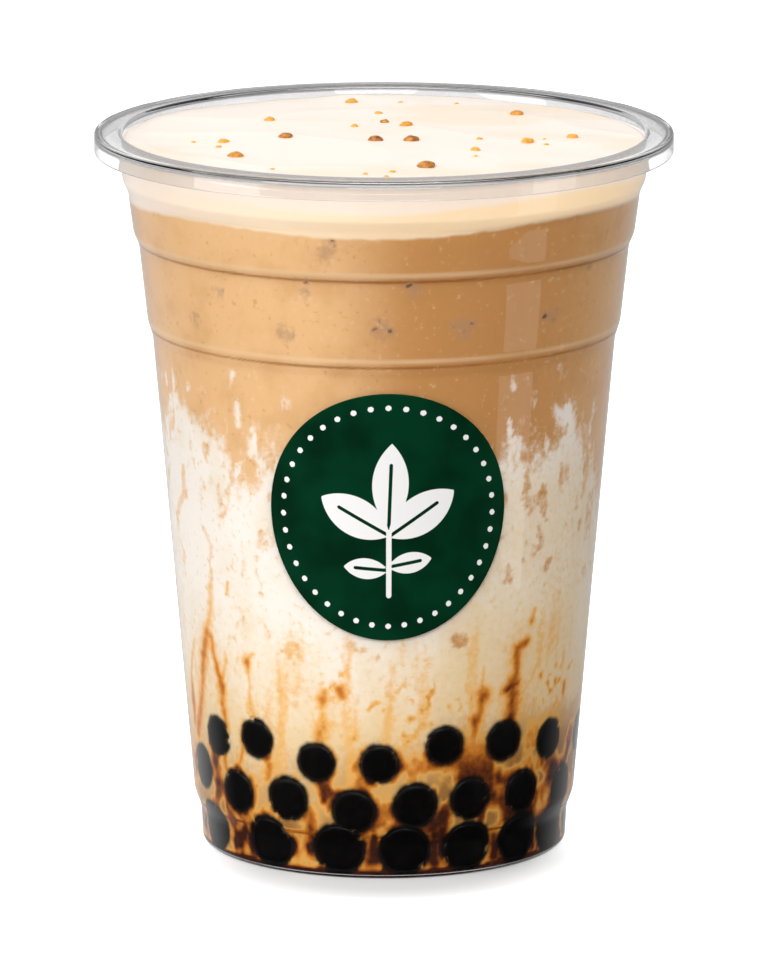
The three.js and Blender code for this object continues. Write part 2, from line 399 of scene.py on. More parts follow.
on_flange = smooth(44.2, 46.0, cup_r)
painted_rim_shade = np.maximum(SHADE_ON_RIM * rim_top * on_flange, SHADE_ON_NECK * neck_band)
paint(cup, "painted_rim_shade", np.broadcast_to(painted_rim_shade, (len(cup_r), CUP_COLUMNS)))

# %% [markdown]
# ## Clear PET
#
# PET bends light more than water and less than crystal: its IOR is about 1.57. A glass shader
# gives the bright and dark lines along the rim and steps. Light would be slow to find its way
# through it to the drink, so shadow rays pass straight through, as they nearly do in so thin a
# sheet. Along the rim and its neck a mask tints the sheet grey: partly the tint of the thickest
# plastic, partly painted shade for the dark lines that these edges show.

# %% Cup material
clear_pet, tree = empty_material("clear_thermoformed_pet")
painted_rim_shade = node(tree, "Attribute", attribute_name="painted_rim_shade").outputs["Fac"]
# Where the mask is high the sheet turns grey: painted shade on the rim and neck.
rim_shading = {0: painted_rim_shade, 6: "#fbfbfc", 7: "#6f6a67"}
tint = node(tree, "Mix", rim_shading, data_type="RGBA").outputs[2]
sheet = {"Base Color": tint, "Roughness": 0.02, "IOR": 1.57, "Transmission Weight": 1.0}
body = node(tree, "BsdfPrincipled", sheet)
through = node(tree, "BsdfTransparent", {"Color": "#f6f5f4"})
path = node(tree, "LightPath")
mixed = {0: path.outputs["Is Shadow Ray"], 1: body.outputs[0], 2: through.outputs[0]}
both = node(tree, "MixShader", mixed)
node(tree, "OutputMaterial", {"Surface": both.outputs[0]})
cup.data.materials.append(clear_pet)
print("PET IOR:", sheet["IOR"])

# %% [markdown]
# ## Where the pearls lie
#
# About two hundred tapioca pearls of 8 mm sink to the bottom, and those at the wall show as three
# rows of black discs. The ones in the photograph are placed by their pixels, and each row then
# goes on round the back with the same spacing and a seeded unevenness.

# %% Pearl places
PEARL_RADIUS = 4.3
PEARL_PRESS = 0.4
ROW_SIZES = (1.0, 1.07, 1.22)
PEARL_SPACING = math.radians(20)
LEFT_GAP = math.radians(14)
ROWS_IN_PHOTO = [
    [(220, 735), (258, 738), (317, 762), (380, 764),
     (445, 745), (504, 740), (548, 738), (575, 729)],
    [(206, 765), (240, 790), (289, 798), (354, 811),
     (416, 805), (470, 798), (521, 790), (559, 785)],
    [(220, 829), (273, 841), (340, 853), (405, 857), (466, 849), (516, 838), (548, 824)],
]
pearl_draw = np.random.default_rng(11)


def full_row(pixels):
    """Azimuths and heights of a row: those in the photograph, then the rest round the back.

    The rest are evenly spaced, but for a wider gap at the left, where the photograph shows none."""
    azimuth, z = on_wall(*np.array(pixels, float).T)
    gap = TURN - (azimuth[-1] - azimuth[0]) - LEFT_GAP
    more = int(round(gap / PEARL_SPACING)) - 1
    rest = azimuth[-1] + gap * np.arange(1, more + 1) / (more + 1)
    rest = rest + pearl_draw.uniform(-0.04, 0.04, more)
    rest_z = z.mean() + pearl_draw.uniform(-0.9, 0.9, more)
    return np.concatenate([azimuth, rest]), np.concatenate([z, rest_z])


rows = [full_row(pixels) for pixels in ROWS_IN_PHOTO]
pearl_azimuth = np.concatenate([azimuth for azimuth, _ in rows])
pearl_z = np.concatenate([z for _, z in rows])
row_size = np.concatenate([np.full(len(row[0]), size) for row, size in zip(rows, ROW_SIZES)])
pearl_size = PEARL_RADIUS * row_size * pearl_draw.uniform(0.97, 1.03, len(pearl_z))
pearl_z = np.maximum(pearl_z, 0.8 * pearl_size + 1.0)
print(f"{len(pearl_z)} pearls at the wall, lowest at {pearl_z.min():.1f} mm")

# %% [markdown]
# ## Pearls
#
# A cooked pearl is a soft ball. Against the wall it flattens, so its distance from the axis is
# held back smoothly just inside the wall, which leaves a low dome. The same function flattens the
# pearls that lie on the base, where the height is held back instead.

# %% Pearl shapes
PEARL_RINGS = 28
PEARL_COLUMNS = 36
DOME = 0.3
SOFTNESS = 0.22
PEARL_FLOOR = 1.4
# The pearls on the base: the radius of each ring, and how many lie in it.
BASE_RINGS = [(18.0, 12), (9.2, 6), (0.0, 1)]
# From the middle of a pearl, the milk starts to cover it here, and covers it a fade further out.
PEARL_EDGE = 3.15
PEARL_FADE = 1.2

unit_ball = round_ball(PEARL_RINGS, PEARL_COLUMNS)


def held_back(value, limit):
    """The value, or close below the limit where it would pass it.

    That is limit - s log(1 + e^((limit - value) / s)), with the softness s."""
    return limit - SOFTNESS * np.logaddexp(0, (limit - value) / SOFTNESS)


def bare_of_milk(distance, x, z):
    """1 where a pearl touches the wall and 0 a fade further out, with a few notches in its edge.

    The film of milk between a round pearl and the flat wall grows thicker outwards."""
    notches = 0.7 * smooth(0.68, 0.92, noise(x, z, 1.6, 1.6, 76, 2))
    uneven = 0.5 * (noise(x, z, 1.2, 1.2, 77) - 0.5)
    return 1 - smooth(PEARL_EDGE, PEARL_EDGE + PEARL_FADE, distance + notches + uneven)


def wall_pearls(azimuth, z, size):
    """Balls pressed against the wall: across, up and out from each centre, held back by the wall.

    Also how bare of milk each point is, from its distance to the middle of its pearl."""
    lumps = 1 + 0.05 * (cells(unit_ball[..., 0] * 9, unit_ball[..., 2] * 9, 5, 5, 3) - 0.5)
    ball = unit_ball * size[:, None, None, None] * lumps[..., None]
    up = -held_back(-(z[:, None, None] + ball[..., 2]), -PEARL_FLOOR)
    inner = wall_radius(up) - WALL
    out = inner + (PEARL_PRESS - 1) * size[:, None, None] + ball[..., 1]
    out = held_back(out, inner + DOME)
    across = azimuth[:, None, None] - ball[..., 0] / inner
    distance = np.hypot(ball[..., 0], ball[..., 2]) - (size[:, None, None] - PEARL_RADIUS)
    return around(out, across, up), bare_of_milk(distance, across * WRAP_RADIUS, up)


def base_pearls():
    """Balls that lie on the raised base in rings, with their lowest part held back by it."""
    centres = np.concatenate(
        [
            around(radius, turns(count) + radius, PUNT_HEIGHT + WALL)
            for radius, count in BASE_RINGS
        ]
    )
    ball = unit_ball * PEARL_RADIUS + centres[:, None, None]
    floor = PUNT_HEIGHT + WALL - 0.3
    ball[..., 2] = -held_back(-(ball[..., 2] + (1 - PEARL_PRESS) * PEARL_RADIUS), -floor)
    return ball


at_wall, bare = wall_pearls(pearl_azimuth, pearl_z, pearl_size)
on_base = base_pearls()
pearls = skin("tapioca_pearls_glossy", np.concatenate([at_wall, on_base]))
paint(pearls, "bare", np.concatenate([bare, np.ones(on_base.shape[:3])]))
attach(pearls, "root")
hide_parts("tapioca_pearls")

# %% [markdown]
# ## Cooked tapioca
#
# Tapioca starch boiled in brown sugar is black, smooth and wet. Its skin is a little uneven, with
# faint grey patches where it sticks to the plastic, so the colour and the bump carry some noise.
# Milk covers what of a pearl doesn't touch the wall, so there the colour turns to that of milk.

# %% Pearl material
tapioca, tree = empty_material("cooked_tapioca_in_syrup")
place = node(tree, "TexCoord").outputs["Object"]
patch_scale = {"Vector": place, "Scale": 1 / (1.6 * MM), "Detail": 3.0}
patches = node(tree, "TexNoise", patch_scale).outputs["Fac"]
patchy = node(tree, "MapRange", {"Value": patches, "From Min": 0.5, "From Max": 0.75})
skin_mix = {0: patchy.outputs[0], 6: "#040303", 7: "#0c0908"}
skin_colour = node(tree, "Mix", skin_mix, data_type="RGBA").outputs[2]
bare = node(tree, "Attribute", attribute_name="bare").outputs["Fac"]
filmed = {0: bare, 6: "#a3917b", 7: skin_colour}
skin_colour = node(tree, "Mix", filmed, data_type="RGBA").outputs[2]
grain = {"Vector": place, "Scale": 1 / (0.9 * MM), "Detail": 2.0}
unevenness = node(tree, "TexNoise", grain).outputs["Fac"]
bump = node(tree, "Bump", {"Height": unevenness, "Strength": 0.15, "Distance": 0.2 * MM})
wet = {"Base Color": skin_colour, "Normal": bump.outputs[0]}
wet |= {"Roughness": 0.3, "Specular IOR Level": 0.15}
body = node(tree, "BsdfPrincipled", wet)
node(tree, "OutputMaterial", {"Surface": body.outputs[0]})
pearls.data.materials.append(tapioca)
print("Tapioca roughness:", wet["Roughness"])

# %% [markdown]
# ## How the drink is marbled
#
# The drink is one liquid in three colours: white milk poured over brown sugar syrup, and tea on
# top of it. Where they meet they stay marbled. That could be painted by hand, but here each colour
# is a mask, a number from 0 to 1 at every point of the wall, worked out from a few things that
# show in the photograph: the line where tea meets milk, spots, and streaks of syrup. Round the
# back the same things go on by seeded chance. First come the two layers' own boundary lines.

# %% Layer lines
FOAM_LINE = 112.9
TEA_LINE = 76.0
LINE_POINTS = [
    (163, 455), (176, 398), (190, 403), (205, 424), (216, 432), (230, 458), (241, 480), (252, 481),
    (262, 452), (275, 440), (287, 457), (300, 474), (495, 470), (506, 452), (520, 434), (531, 440),
    (546, 457), (556, 430), (570, 413), (583, 440), (592, 478), (597, 500),
]


def foam_line(azimuth, share=1.0):
    """Height where foam meets tea: a wave once and a wave four times round, fading to the axis."""
    return FOAM_LINE + share * (0.6 * np.sin(azimuth) - 0.6 * np.cos(4 * azimuth))


def split_line(azimuth, share=1.0):
    """Height where the tea's piece ends and the milk's begins: waves 2, 5 and 11 times round."""
    slow = 2.6 * np.sin(5 * azimuth + 2.2) + 1.6 * np.sin(2 * azimuth + 3.6)
    return TEA_LINE + share * (slow + 1.8 * np.sin(11 * azimuth + 0.7))


def colour_line(azimuth):
    """Height where tan turns white: through the photo's points, and a noise line round the back."""
    seen, seen_z = on_wall(*np.array(LINE_POINTS, float).T)
    back = np.linspace(seen[-1], seen[0] + TURN, 26)[1:-1]
    back_z = 66 + 22 * noise(back * WRAP_RADIUS, 0.0, 11, 11, 41, 2)
    known = np.concatenate([seen, back])
    heights = np.concatenate([seen_z, back_z])
    wrapped = (azimuth - seen[0]) % TURN + seen[0]
    return np.interp(wrapped, np.append(known, seen[0] + TURN), np.append(heights, seen_z[0]))


print("Tan turns white in front at", round(float(colour_line(0.0)), 1), "mm")

# %% [markdown]
# ## Spots and streaks
#
# Syrup clings to the wall in runs and drops. A run is a chain of points with a width and a
# strength, and a spot is a chain of one. The strength at any place of the wall is that of the
# nearest point of the chain, falling off softly with the distance, so long chains come out as
# smooth runs. The distances are bent by noise first, which makes the edges ragged.

# %% Spots and streaks
# Each point: photo pixel u, v, half width in mm, strength.
SYRUP_RUNS = [
    [(212, 566, 0.73, 0.17), (213, 590, 0.89, 0.29), (212, 619, 1.18, 0.34), (209, 632, 1.63, 0.53),
     (206, 653, 1.47, 0.62), (205, 674, 1.32, 0.53), (204, 705, 1.47, 0.6), (201, 730, 1.77, 0.69)],
    [(212, 634, 1.04, 0.6), (217, 657, 1.04, 0.43), (223, 686, 1.32, 0.67), (225, 706, 1.18, 0.6),
     (228, 726, 1.18, 0.52)],
    [(229, 656, 0.59, 0.26), (226, 672, 0.59, 0.34), (223, 684, 0.73, 0.52)],
    [(197, 640, 0.73, 0.26), (194, 670, 0.89, 0.34), (196, 700, 1.32, 0.73), (198, 722, 1.32, 0.6)],
    [(230, 583, 0.52, 0.43), (228, 593, 0.52, 0.43)],
    [(255, 653, 0.59, 0.3), (248, 660, 1.25, 0.67), (250, 678, 0.59, 0.26), (251, 698, 0.89, 0.31),
     (254, 715, 1.32, 0.36)],
    [(246, 725, 1.04, 0.43), (243, 760, 0.73, 0.52), (237, 772, 0.73, 0.52)],
    [(325, 692, 0.89, 0.52), (324, 699, 1.32, 0.62), (322, 712, 1.04, 0.34), (324, 727, 1.91, 0.53),
     (321, 742, 1.32, 0.52)],
    [(341, 690, 1.32, 0.67), (343, 697, 1.04, 0.62)],
    [(346, 672, 0.73, 0.26), (349, 655, 0.89, 0.26)],
    [(393, 668, 0.73, 0.21), (391, 700, 0.89, 0.26), (389, 735, 1.32, 0.31),
     (385, 752, 0.89, 0.29)],
    [(356, 700, 0.73, 0.17), (357, 726, 0.73, 0.22), (355, 739, 0.66, 0.52)],
    [(484, 668, 0.59, 0.29), (482, 683, 0.59, 0.39), (484, 695, 1.63, 0.89), (481, 712, 1.04, 0.7),
     (476, 719, 1.32, 0.85), (473, 738, 1.18, 0.5), (474, 760, 1.32, 0.48)],
    [(526, 641, 1.04, 0.87), (518, 647, 1.18, 0.74), (516, 660, 1.32, 0.72), (516, 672, 1.18, 0.7),
     (514, 681, 1.77, 0.81), (512, 696, 1.91, 0.89), (511, 706, 2.06, 0.87),
     (509, 720, 1.91, 0.92)],
    [(507, 689, 1.32, 0.97), (517, 683, 0.89, 0.87)],
    [(535, 607, 0.59, 0.39), (532, 620, 0.89, 0.58)],
    [(536, 664, 0.45, 0.29), (531, 676, 0.52, 0.33), (524, 690, 0.45, 0.29)],
    [(540, 675, 0.73, 0.6)], [(563, 683, 0.73, 0.68), (562, 693, 0.73, 0.64)],
    [(556, 700, 0.59, 0.39), (548, 715, 0.59, 0.48)], [(412, 719, 0.81, 0.52)],
    [(426, 708, 0.59, 0.41)], [(449, 706, 0.66, 0.39)], [(417, 735, 0.59, 0.36)],
    [(432, 725, 0.59, 0.39)], [(405, 745, 0.73, 0.34)], [(421, 712, 0.45, 0.39)],
    [(408, 741, 0.52, 0.43)],
    [(270, 690, 0.73, 0.17), (269, 716, 0.89, 0.22), (268, 745, 0.89, 0.26)],
    [(300, 676, 1.04, 0.17), (296, 705, 0.89, 0.19)],
    [(455, 770, 1.18, 0.58), (457, 742, 0.73, 0.39)],
    [(482, 752, 1.77, 0.68), (484, 776, 2.22, 0.85), (492, 783, 1.32, 0.68)],
    [(538, 752, 1.04, 0.58), (536, 768, 0.89, 0.58)],
    [(271, 765, 1.32, 0.6), (268, 778, 1.18, 0.53)],
    [(226, 752, 0.89, 0.52), (228, 768, 0.89, 0.6)],
    [(310, 810, 1.47, 0.65), (312, 824, 1.77, 0.82), (314, 836, 1.47, 0.77)],
    [(378, 800, 1.04, 0.52), (376, 826, 1.18, 0.6)],
    [(432, 826, 1.47, 0.78), (428, 842, 1.32, 0.68)],
    [(253, 820, 1.04, 0.6), (250, 838, 1.04, 0.6)], [(374, 838, 1.3, 0.9), (374, 860, 1.7, 1.0)],
    [(434, 838, 1.2, 0.85), (434, 860, 1.5, 0.95)], [(494, 834, 1.1, 0.8), (494, 854, 1.4, 0.9)],
    [(531, 828, 1.0, 0.75), (531, 846, 1.2, 0.85)],
]
# Pale tan flakes of tea in the milk.
TAN_SPOTS = [
    [(186, 470, 1.17, 0.9), (187, 492, 1.17, 0.9), (180, 512, 1.17, 0.8), (183, 535, 0.65, 0.5),
     (187, 556, 1.04, 0.7), (188, 574, 0.78, 0.5)],
    [(172, 470, 1.04, 0.8), (172, 500, 0.91, 0.6)],
    [(205, 529, 1.17, 0.62), (211, 543, 1.3, 0.62), (213, 560, 0.91, 0.62), (213, 580, 0.91, 0.5)],
    [(217, 549, 0.65, 0.6)],
    [(290, 649, 1.56, 0.9), (297, 650, 1.56, 0.9), (289, 657, 0.91, 0.7)],
    [(352, 646, 1.56, 0.62), (363, 648, 1.69, 0.62)], [(377, 658, 1.17, 0.55)],
    [(456, 643, 1.82, 0.9), (463, 640, 1.56, 0.85)],
    [(527, 503, 1.3, 0.66), (535, 500, 1.82, 0.66), (530, 512, 0.91, 0.6)],
    [(538, 532, 1.04, 0.62), (541, 543, 1.17, 0.7), (534, 556, 0.78, 0.6)],
    [(547, 565, 1.43, 0.8), (551, 558, 0.65, 0.7)], [(523, 560, 0.91, 0.7)],
    [(506, 566, 0.91, 0.6), (508, 582, 1.3, 0.7)],
    [(586, 455, 2.08, 0.95), (584, 478, 1.56, 0.9), (582, 494, 1.04, 0.8)],
    [(579, 520, 0.91, 0.8), (577, 530, 0.78, 0.7)], [(566, 545, 0.52, 0.5)],
    [(244, 516, 0.91, 0.3)], [(256, 492, 0.91, 0.4)], [(257, 564, 0.52, 0.3)],
    [(267, 628, 0.65, 0.3)],
]
# Grey-brown clusters of tea leaf in the tan layer.
LEAF_SPOTS = [
    [(331, 241, 0.63, 1.0)], [(328, 252, 1.96, 0.5)], [(334, 247, 0.56, 0.8)],
    [(305, 281, 0.56, 0.9), (308, 280, 0.56, 0.9)], [(306, 290, 1.82, 0.42)],
    [(310, 291, 0.56, 0.7)], [(270, 276, 0.49, 0.8)], [(409, 286, 0.7, 1.0), (414, 283, 0.63, 0.9)],
    [(415, 290, 1.82, 0.42)], [(421, 292, 0.49, 0.7)], [(375, 329, 0.56, 0.9)],
    [(389, 329, 0.7, 1.0)], [(379, 322, 0.49, 0.8)], [(383, 327, 2.1, 0.45)],
    [(453, 328, 0.6, 0.8)], [(459, 320, 0.45, 0.7)], [(472, 324, 0.7, 1.0)], [(463, 329, 2.1, 0.5)],
    [(463, 333, 0.56, 0.7)], [(544, 315, 0.7, 1.0)], [(553, 320, 0.63, 0.9)],
    [(558, 308, 0.49, 0.8)], [(549, 317, 2.1, 0.42)], [(283, 331, 1.26, 0.5)],
    [(289, 336, 1.26, 0.5)], [(294, 335, 0.56, 0.7)], [(191, 315, 0.49, 0.6)],
    [(201, 316, 0.49, 0.7)], [(196, 319, 1.82, 0.4)], [(224, 290, 0.63, 0.7)],
    [(220, 294, 1.68, 0.4)], [(588, 266, 0.7, 0.7)], [(433, 307, 0.42, 0.6)],
]
# White spots in the tan layer: milk, and painted highlight where the lamps' streaks on the plastic
# cross it.
MILK_AND_HIGHLIGHT_SPOTS = [
    [(234, 371, 0.77, 0.77), (231, 384, 0.66, 0.59)],
    [(238, 402, 0.88, 0.81), (239, 424, 0.77, 0.77)],
    [(513, 374, 0.55, 0.47), (513, 388, 0.77, 0.72)],
    [(556, 408, 1.1, 0.68), (563, 420, 1.43, 0.77), (568, 412, 0.99, 0.68)],
]
BACK_START = math.radians(84)


def chance_runs(count, low, high, longest, wide, seed):
    """Runs round the back, in the same form, but with azimuth and height in place of a pixel."""
    draw = np.random.default_rng(seed)
    runs = []
    for _ in range(count):
        steps = int(draw.integers(1, 6))
        azimuth = draw.uniform(BACK_START, TURN - BACK_START)
        azimuths = azimuth + np.cumsum(draw.normal(0, 0.025, steps))
        heights = draw.uniform(low, high) + np.linspace(0, draw.uniform(2, longest), steps)
        widths = draw.uniform(0.35, wide, steps)
        strengths = draw.uniform(0.35, 0.95) * draw.uniform(0.8, 1, steps)
        runs.append(np.stack([azimuths, heights, widths, strengths], 1))
    return runs


def placed(runs):
    """Runs with their photo pixels turned into azimuth and height on the wall."""
    turned = []
    for run in runs:
        u, v, width, strength = np.array(run, float).T
        turned.append(np.stack([*on_wall(u, v), width, strength], 1))
    return turned


def strength_of(runs, azimuth, z, ragged, seed):
    """The strongest run at each place: strength / (1 + (distance / width / 1.2)^2) squared.

    The distance is to the nearest point of each stretch of the run, measured along the wall."""
    x = azimuth * WRAP_RADIUS
    bend_x = (noise(x, z, 2.2, 2.2, seed) - 0.5) * ragged
    bend_z = (noise(x, z, 2.2, 2.2, seed + 7) - 0.5) * ragged
    strongest = np.zeros(np.shape(azimuth))
    for run in runs:
        chain = run if len(run) > 1 else np.repeat(run, 2, axis=0)
        for start, end in zip(chain[:-1], chain[1:]):
            radius = wall_radius(start[1])
            across = ((azimuth - start[0] + math.pi) % TURN - math.pi) * radius + bend_x
            up = z - start[1] + bend_z
            along = np.array([(end[0] - start[0]) * radius, end[1] - start[1]])
            length = max(float(along @ along), 1e-6)
            t = np.clip((across * along[0] + up * along[1]) / length, 0, 1)
            distance = np.hypot(across - t * along[0], up - t * along[1])
            width = start[2] + t * (end[2] - start[2])
            strength = start[3] + t * (end[3] - start[3])
            strongest = np.maximum(strongest, strength / (1 + (distance / width / 1.2) ** 2) ** 2)
    return strongest


syrup_runs = placed(SYRUP_RUNS) + chance_runs(60, 4, 30, 26, 1.3, 51)
tan_spots = placed(TAN_SPOTS) + chance_runs(34, 32, 66, 8, 1.5, 52)
milk_and_highlight_spots = placed(MILK_AND_HIGHLIGHT_SPOTS)
leaf_spots = placed(LEAF_SPOTS) + chance_runs(26, 88, 108, 3, 0.8, 53)
print(f"{len(syrup_runs)} runs of syrup, {len(tan_spots)} tan flakes, {len(leaf_spots)} leaf bits")

# %% [markdown]
# ## The drink's skin
#
# The liquid could be a volume that light enters, but milk is so dense that only its skin shows.
# It is built as two skins that share the boundary line: the milk, which also fills the spaces
# between the pearls, and the tea above it. Their sides reach a little into the cup's wall, so
# there is no film of air between drink and plastic, as wet plastic looks. The columns stand
# closer together at the front, where the marbling is drawn finest.

# %% Drink shapes
DRINK_COLUMNS = 448
FRONT_SHARE = 0.35
# A ring this close to each edge keeps the smooth shading of the side from leaning into the cap.
HOLD = 0.001
DRINK_CAP_RINGS = 6
even_turn = turns(DRINK_COLUMNS)
drink_turn = even_turn - FRONT_SHARE * np.sin(even_turn)
shares = np.array([0, 0.2, 0.4, 0.6, 0.8, 1 - HOLD])[:, None]


def side_rings(low, high, count):
    """Rings up the wall from one height line to another, with two more close to the ends."""
    t = np.concatenate([[0, HOLD], np.linspace(0, 1, count - 2)[1:-1], [1 - HOLD, 1]])
    z = low + t[:, None] * (high - low)
    return around(wet_radius(z), drink_turn, z)


def cap_rings(line):
    """Rings from the axis out to just before the wall, on a face whose waves fade to the axis."""
    z = line(drink_turn, shares)
    return around(shares * wet_radius(line(drink_turn)), drink_turn, z)


MILK_RINGS = 196
TEA_RINGS = 110
milk_base = softened(
    [
        [0, PUNT_HEIGHT + WALL - WET],
        [PUNT_RADIUS + 0.2, PUNT_HEIGHT + WALL - WET],
        [FOOT_INNER + 0.2, WALL - WET],
        [FOOT_OUTER - 0.3, WALL - WET],
        [wet_radius(1.2), 1.2],
    ],
    soft=0.5,
    step=6.0,
)
base_rings = around(milk_base[:-1, :1], drink_turn, milk_base[:-1, 1:])
milk_side = side_rings(1.2, split_line(drink_turn), MILK_RINGS)
milk_rings = np.concatenate([base_rings, milk_side, cap_rings(split_line)[::-1]])
milk = skin("marbled_milk", milk_rings)

tea_side = side_rings(split_line(drink_turn), foam_line(drink_turn), TEA_RINGS)
tea_rings = np.concatenate([cap_rings(split_line), tea_side, cap_rings(foam_line)[::-1]])
tea = skin("milk_tea_layer", tea_rings)

for piece, stands_for in ((milk, "milk"), (tea, "milk_tea")):
    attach(piece, "root")
    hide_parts(stands_for)

# %% [markdown]
# ## The masks
#
# Each mask is one formula over the same two numbers, azimuth and height. Tea covers what is above
# the colour line, moved up and down by streaky noise. Syrup is the strongest of the runs, drips,
# specks and what has soaked into the milk near the pearls. The shade where a pearl touches the
# wall fades over a millimetre, because the film of milk between them grows thicker outwards.


# %% Mask values
# Deeper tan from the front round to the right: partly tea mixed unevenly, partly painted shade, the
# stronger colour of the less lit side.
DEEP_TEA_AND_SHADE_AZIMUTH = math.radians(17)
DEEP_TEA_AND_SHADE_HALF_WIDTH = math.radians(24)
# How tan the stains and flakes in the milk are, and how white the splashes in the tea.
TAN_SHARE = 0.68
SPLASH_SHARE = 0.75
# How strong each kind of syrup is, beside the runs.
DRIPS = 0.26
SPECKS = 0.42
SOAKED = 0.95
HALO = 0.9
# The dark line at the foot's step is painted shade, laid in with the syrup.
FOOT_STEP_SHADE = 0.8
FOOT_STEP = on_wall(385, 836)[1]
# Under each step a thin dark line of painted shade, and over it a light line of painted
# highlight, stand for what the thicker plastic in the corner does to the light.
STEP_HEIGHTS = (on_wall(385, 282)[1], on_wall(385, 368)[1])
STEP_SHADE_HALF_WIDTH = 0.32
STEP_HIGHLIGHT_HALF_WIDTH = 0.5
STEP_HIGHLIGHT_RISE = 1.1
# How warm the milk is at each height, from the floor of the cup up, and how much more so at the
# right.
WARM_HEIGHTS = (0, 9, 14, 21, 27, 32, 39, 49, 60)
WARM_SHARES = (1.0, 0.94, 0.7, 0.5, 0.29, 0.21, 0.14, 0.04, 0.0)
WARM_RIGHT = 0.22


# %% Masks
def pearl_gap(azimuth, z):
    """Millimetres from the middle of the nearest pearl, less what it is larger than the others."""
    nearest = np.full(np.shape(azimuth), 99.0)
    for centre, height, size in zip(pearl_azimuth, pearl_z, pearl_size):
        across = ((azimuth - centre + math.pi) % TURN - math.pi) * wall_radius(height)
        nearest = np.minimum(nearest, np.hypot(across, z - height) - (size - PEARL_RADIUS))
    return nearest


def tea_share(azimuth, z, flecks):
    """How tan each place is: smooth over the colour line, with stains below and splashes above.

    Above is the height over the line divided by sqrt(1 + slope^2), which is about the distance
    to it, and noise bends it."""
    x = azimuth * WRAP_RADIUS
    streaks = noise(x, z, 3.4, 10, 61) - 0.5
    ahead, behind = colour_line(azimuth + 0.02), colour_line(azimuth - 0.02)
    slope = (ahead - behind) / (0.04 * WRAP_RADIUS)
    above = (z - colour_line(azimuth)) / np.sqrt(1 + slope**2) + 6 * streaks + 4.5 * flecks
    stains = smooth(0.46, 0.75, noise(x, z, 2.2, 3.4, 63)) * smooth(-24, -3, above)
    tan = np.maximum(smooth(-6, 5, above), TAN_SHARE * stains)
    splashes = smooth(0.56, 0.74, noise(x, z, 1.7, 4.2, 64)) * smooth(11, 1, above)
    tan = tan * (1 - SPLASH_SHARE * splashes * smooth(-4, 0, above))
    flakes = smooth(0.05, 0.8, strength_of(tan_spots, azimuth, z, 1.6, 71))
    tan = np.maximum(tan, TAN_SHARE * flakes)
    # White spots take the tan away: milk, and painted highlight of the lamps' streaks on the
    # plastic.
    return tan * (1 - strength_of(milk_and_highlight_spots, azimuth, z, 1.0, 75))


def syrup_share(azimuth, z, to_right, gap):
    """How thick the syrup is: the strongest of six kinds, and more towards the cup's floor.

    They are runs, long faint drips, specks, what has soaked into the milk between the pearls, a
    halo round each pearl, and a dark line of painted shade along the foot's step, a bell curve of
    height."""
    x = azimuth * WRAP_RADIUS
    patchy = 0.85 + 0.5 * (noise(x, z, 1.8, 2.4, 74) - 0.4)
    runs = strength_of(syrup_runs, azimuth, z, 0.9, 72) * patchy
    seep = noise(x, z, 4, 5, 67)
    drips = DRIPS * smooth(0.48, 0.8, noise(x, z, 3.4, 20, 66, 3)) * smooth(62, 30, z)
    specks = SPECKS * smooth(0.6, 0.78, noise(x, z, 1.2, 1.5, 60, 2))
    specks = specks * smooth(46, 32, z) * smooth(0.4, 0.7, seep)
    soaked = smooth(30, 16, z) * smooth(0.42, 0.85, seep + 0.12 * to_right) * SOAKED
    halo = HALO * smooth(0.3, 0.75, seep) * smooth(27, 20, z)
    halo = halo * (1 - smooth(0.2, 2.0, gap - PEARL_EDGE - 0.4))
    # Painted shade: a dark line along the foot's step.
    step = FOOT_STEP_SHADE * np.exp(-(((z - FOOT_STEP) / 0.35) ** 2))
    foot = smooth(9, 5, z) * (0.1 + 0.35 * seep) + smooth(1.9, 1.0, z)
    return np.max([runs, drips, specks, soaked, halo, step], axis=0) + foot


def lines_at_steps(z, rise, half_width):
    """Bell curves a rise above each step: the sum of e^-((z - step - rise) / half width)^2."""
    return sum(np.exp(-(((z - height - rise) / half_width) ** 2)) for height in STEP_HEIGHTS)


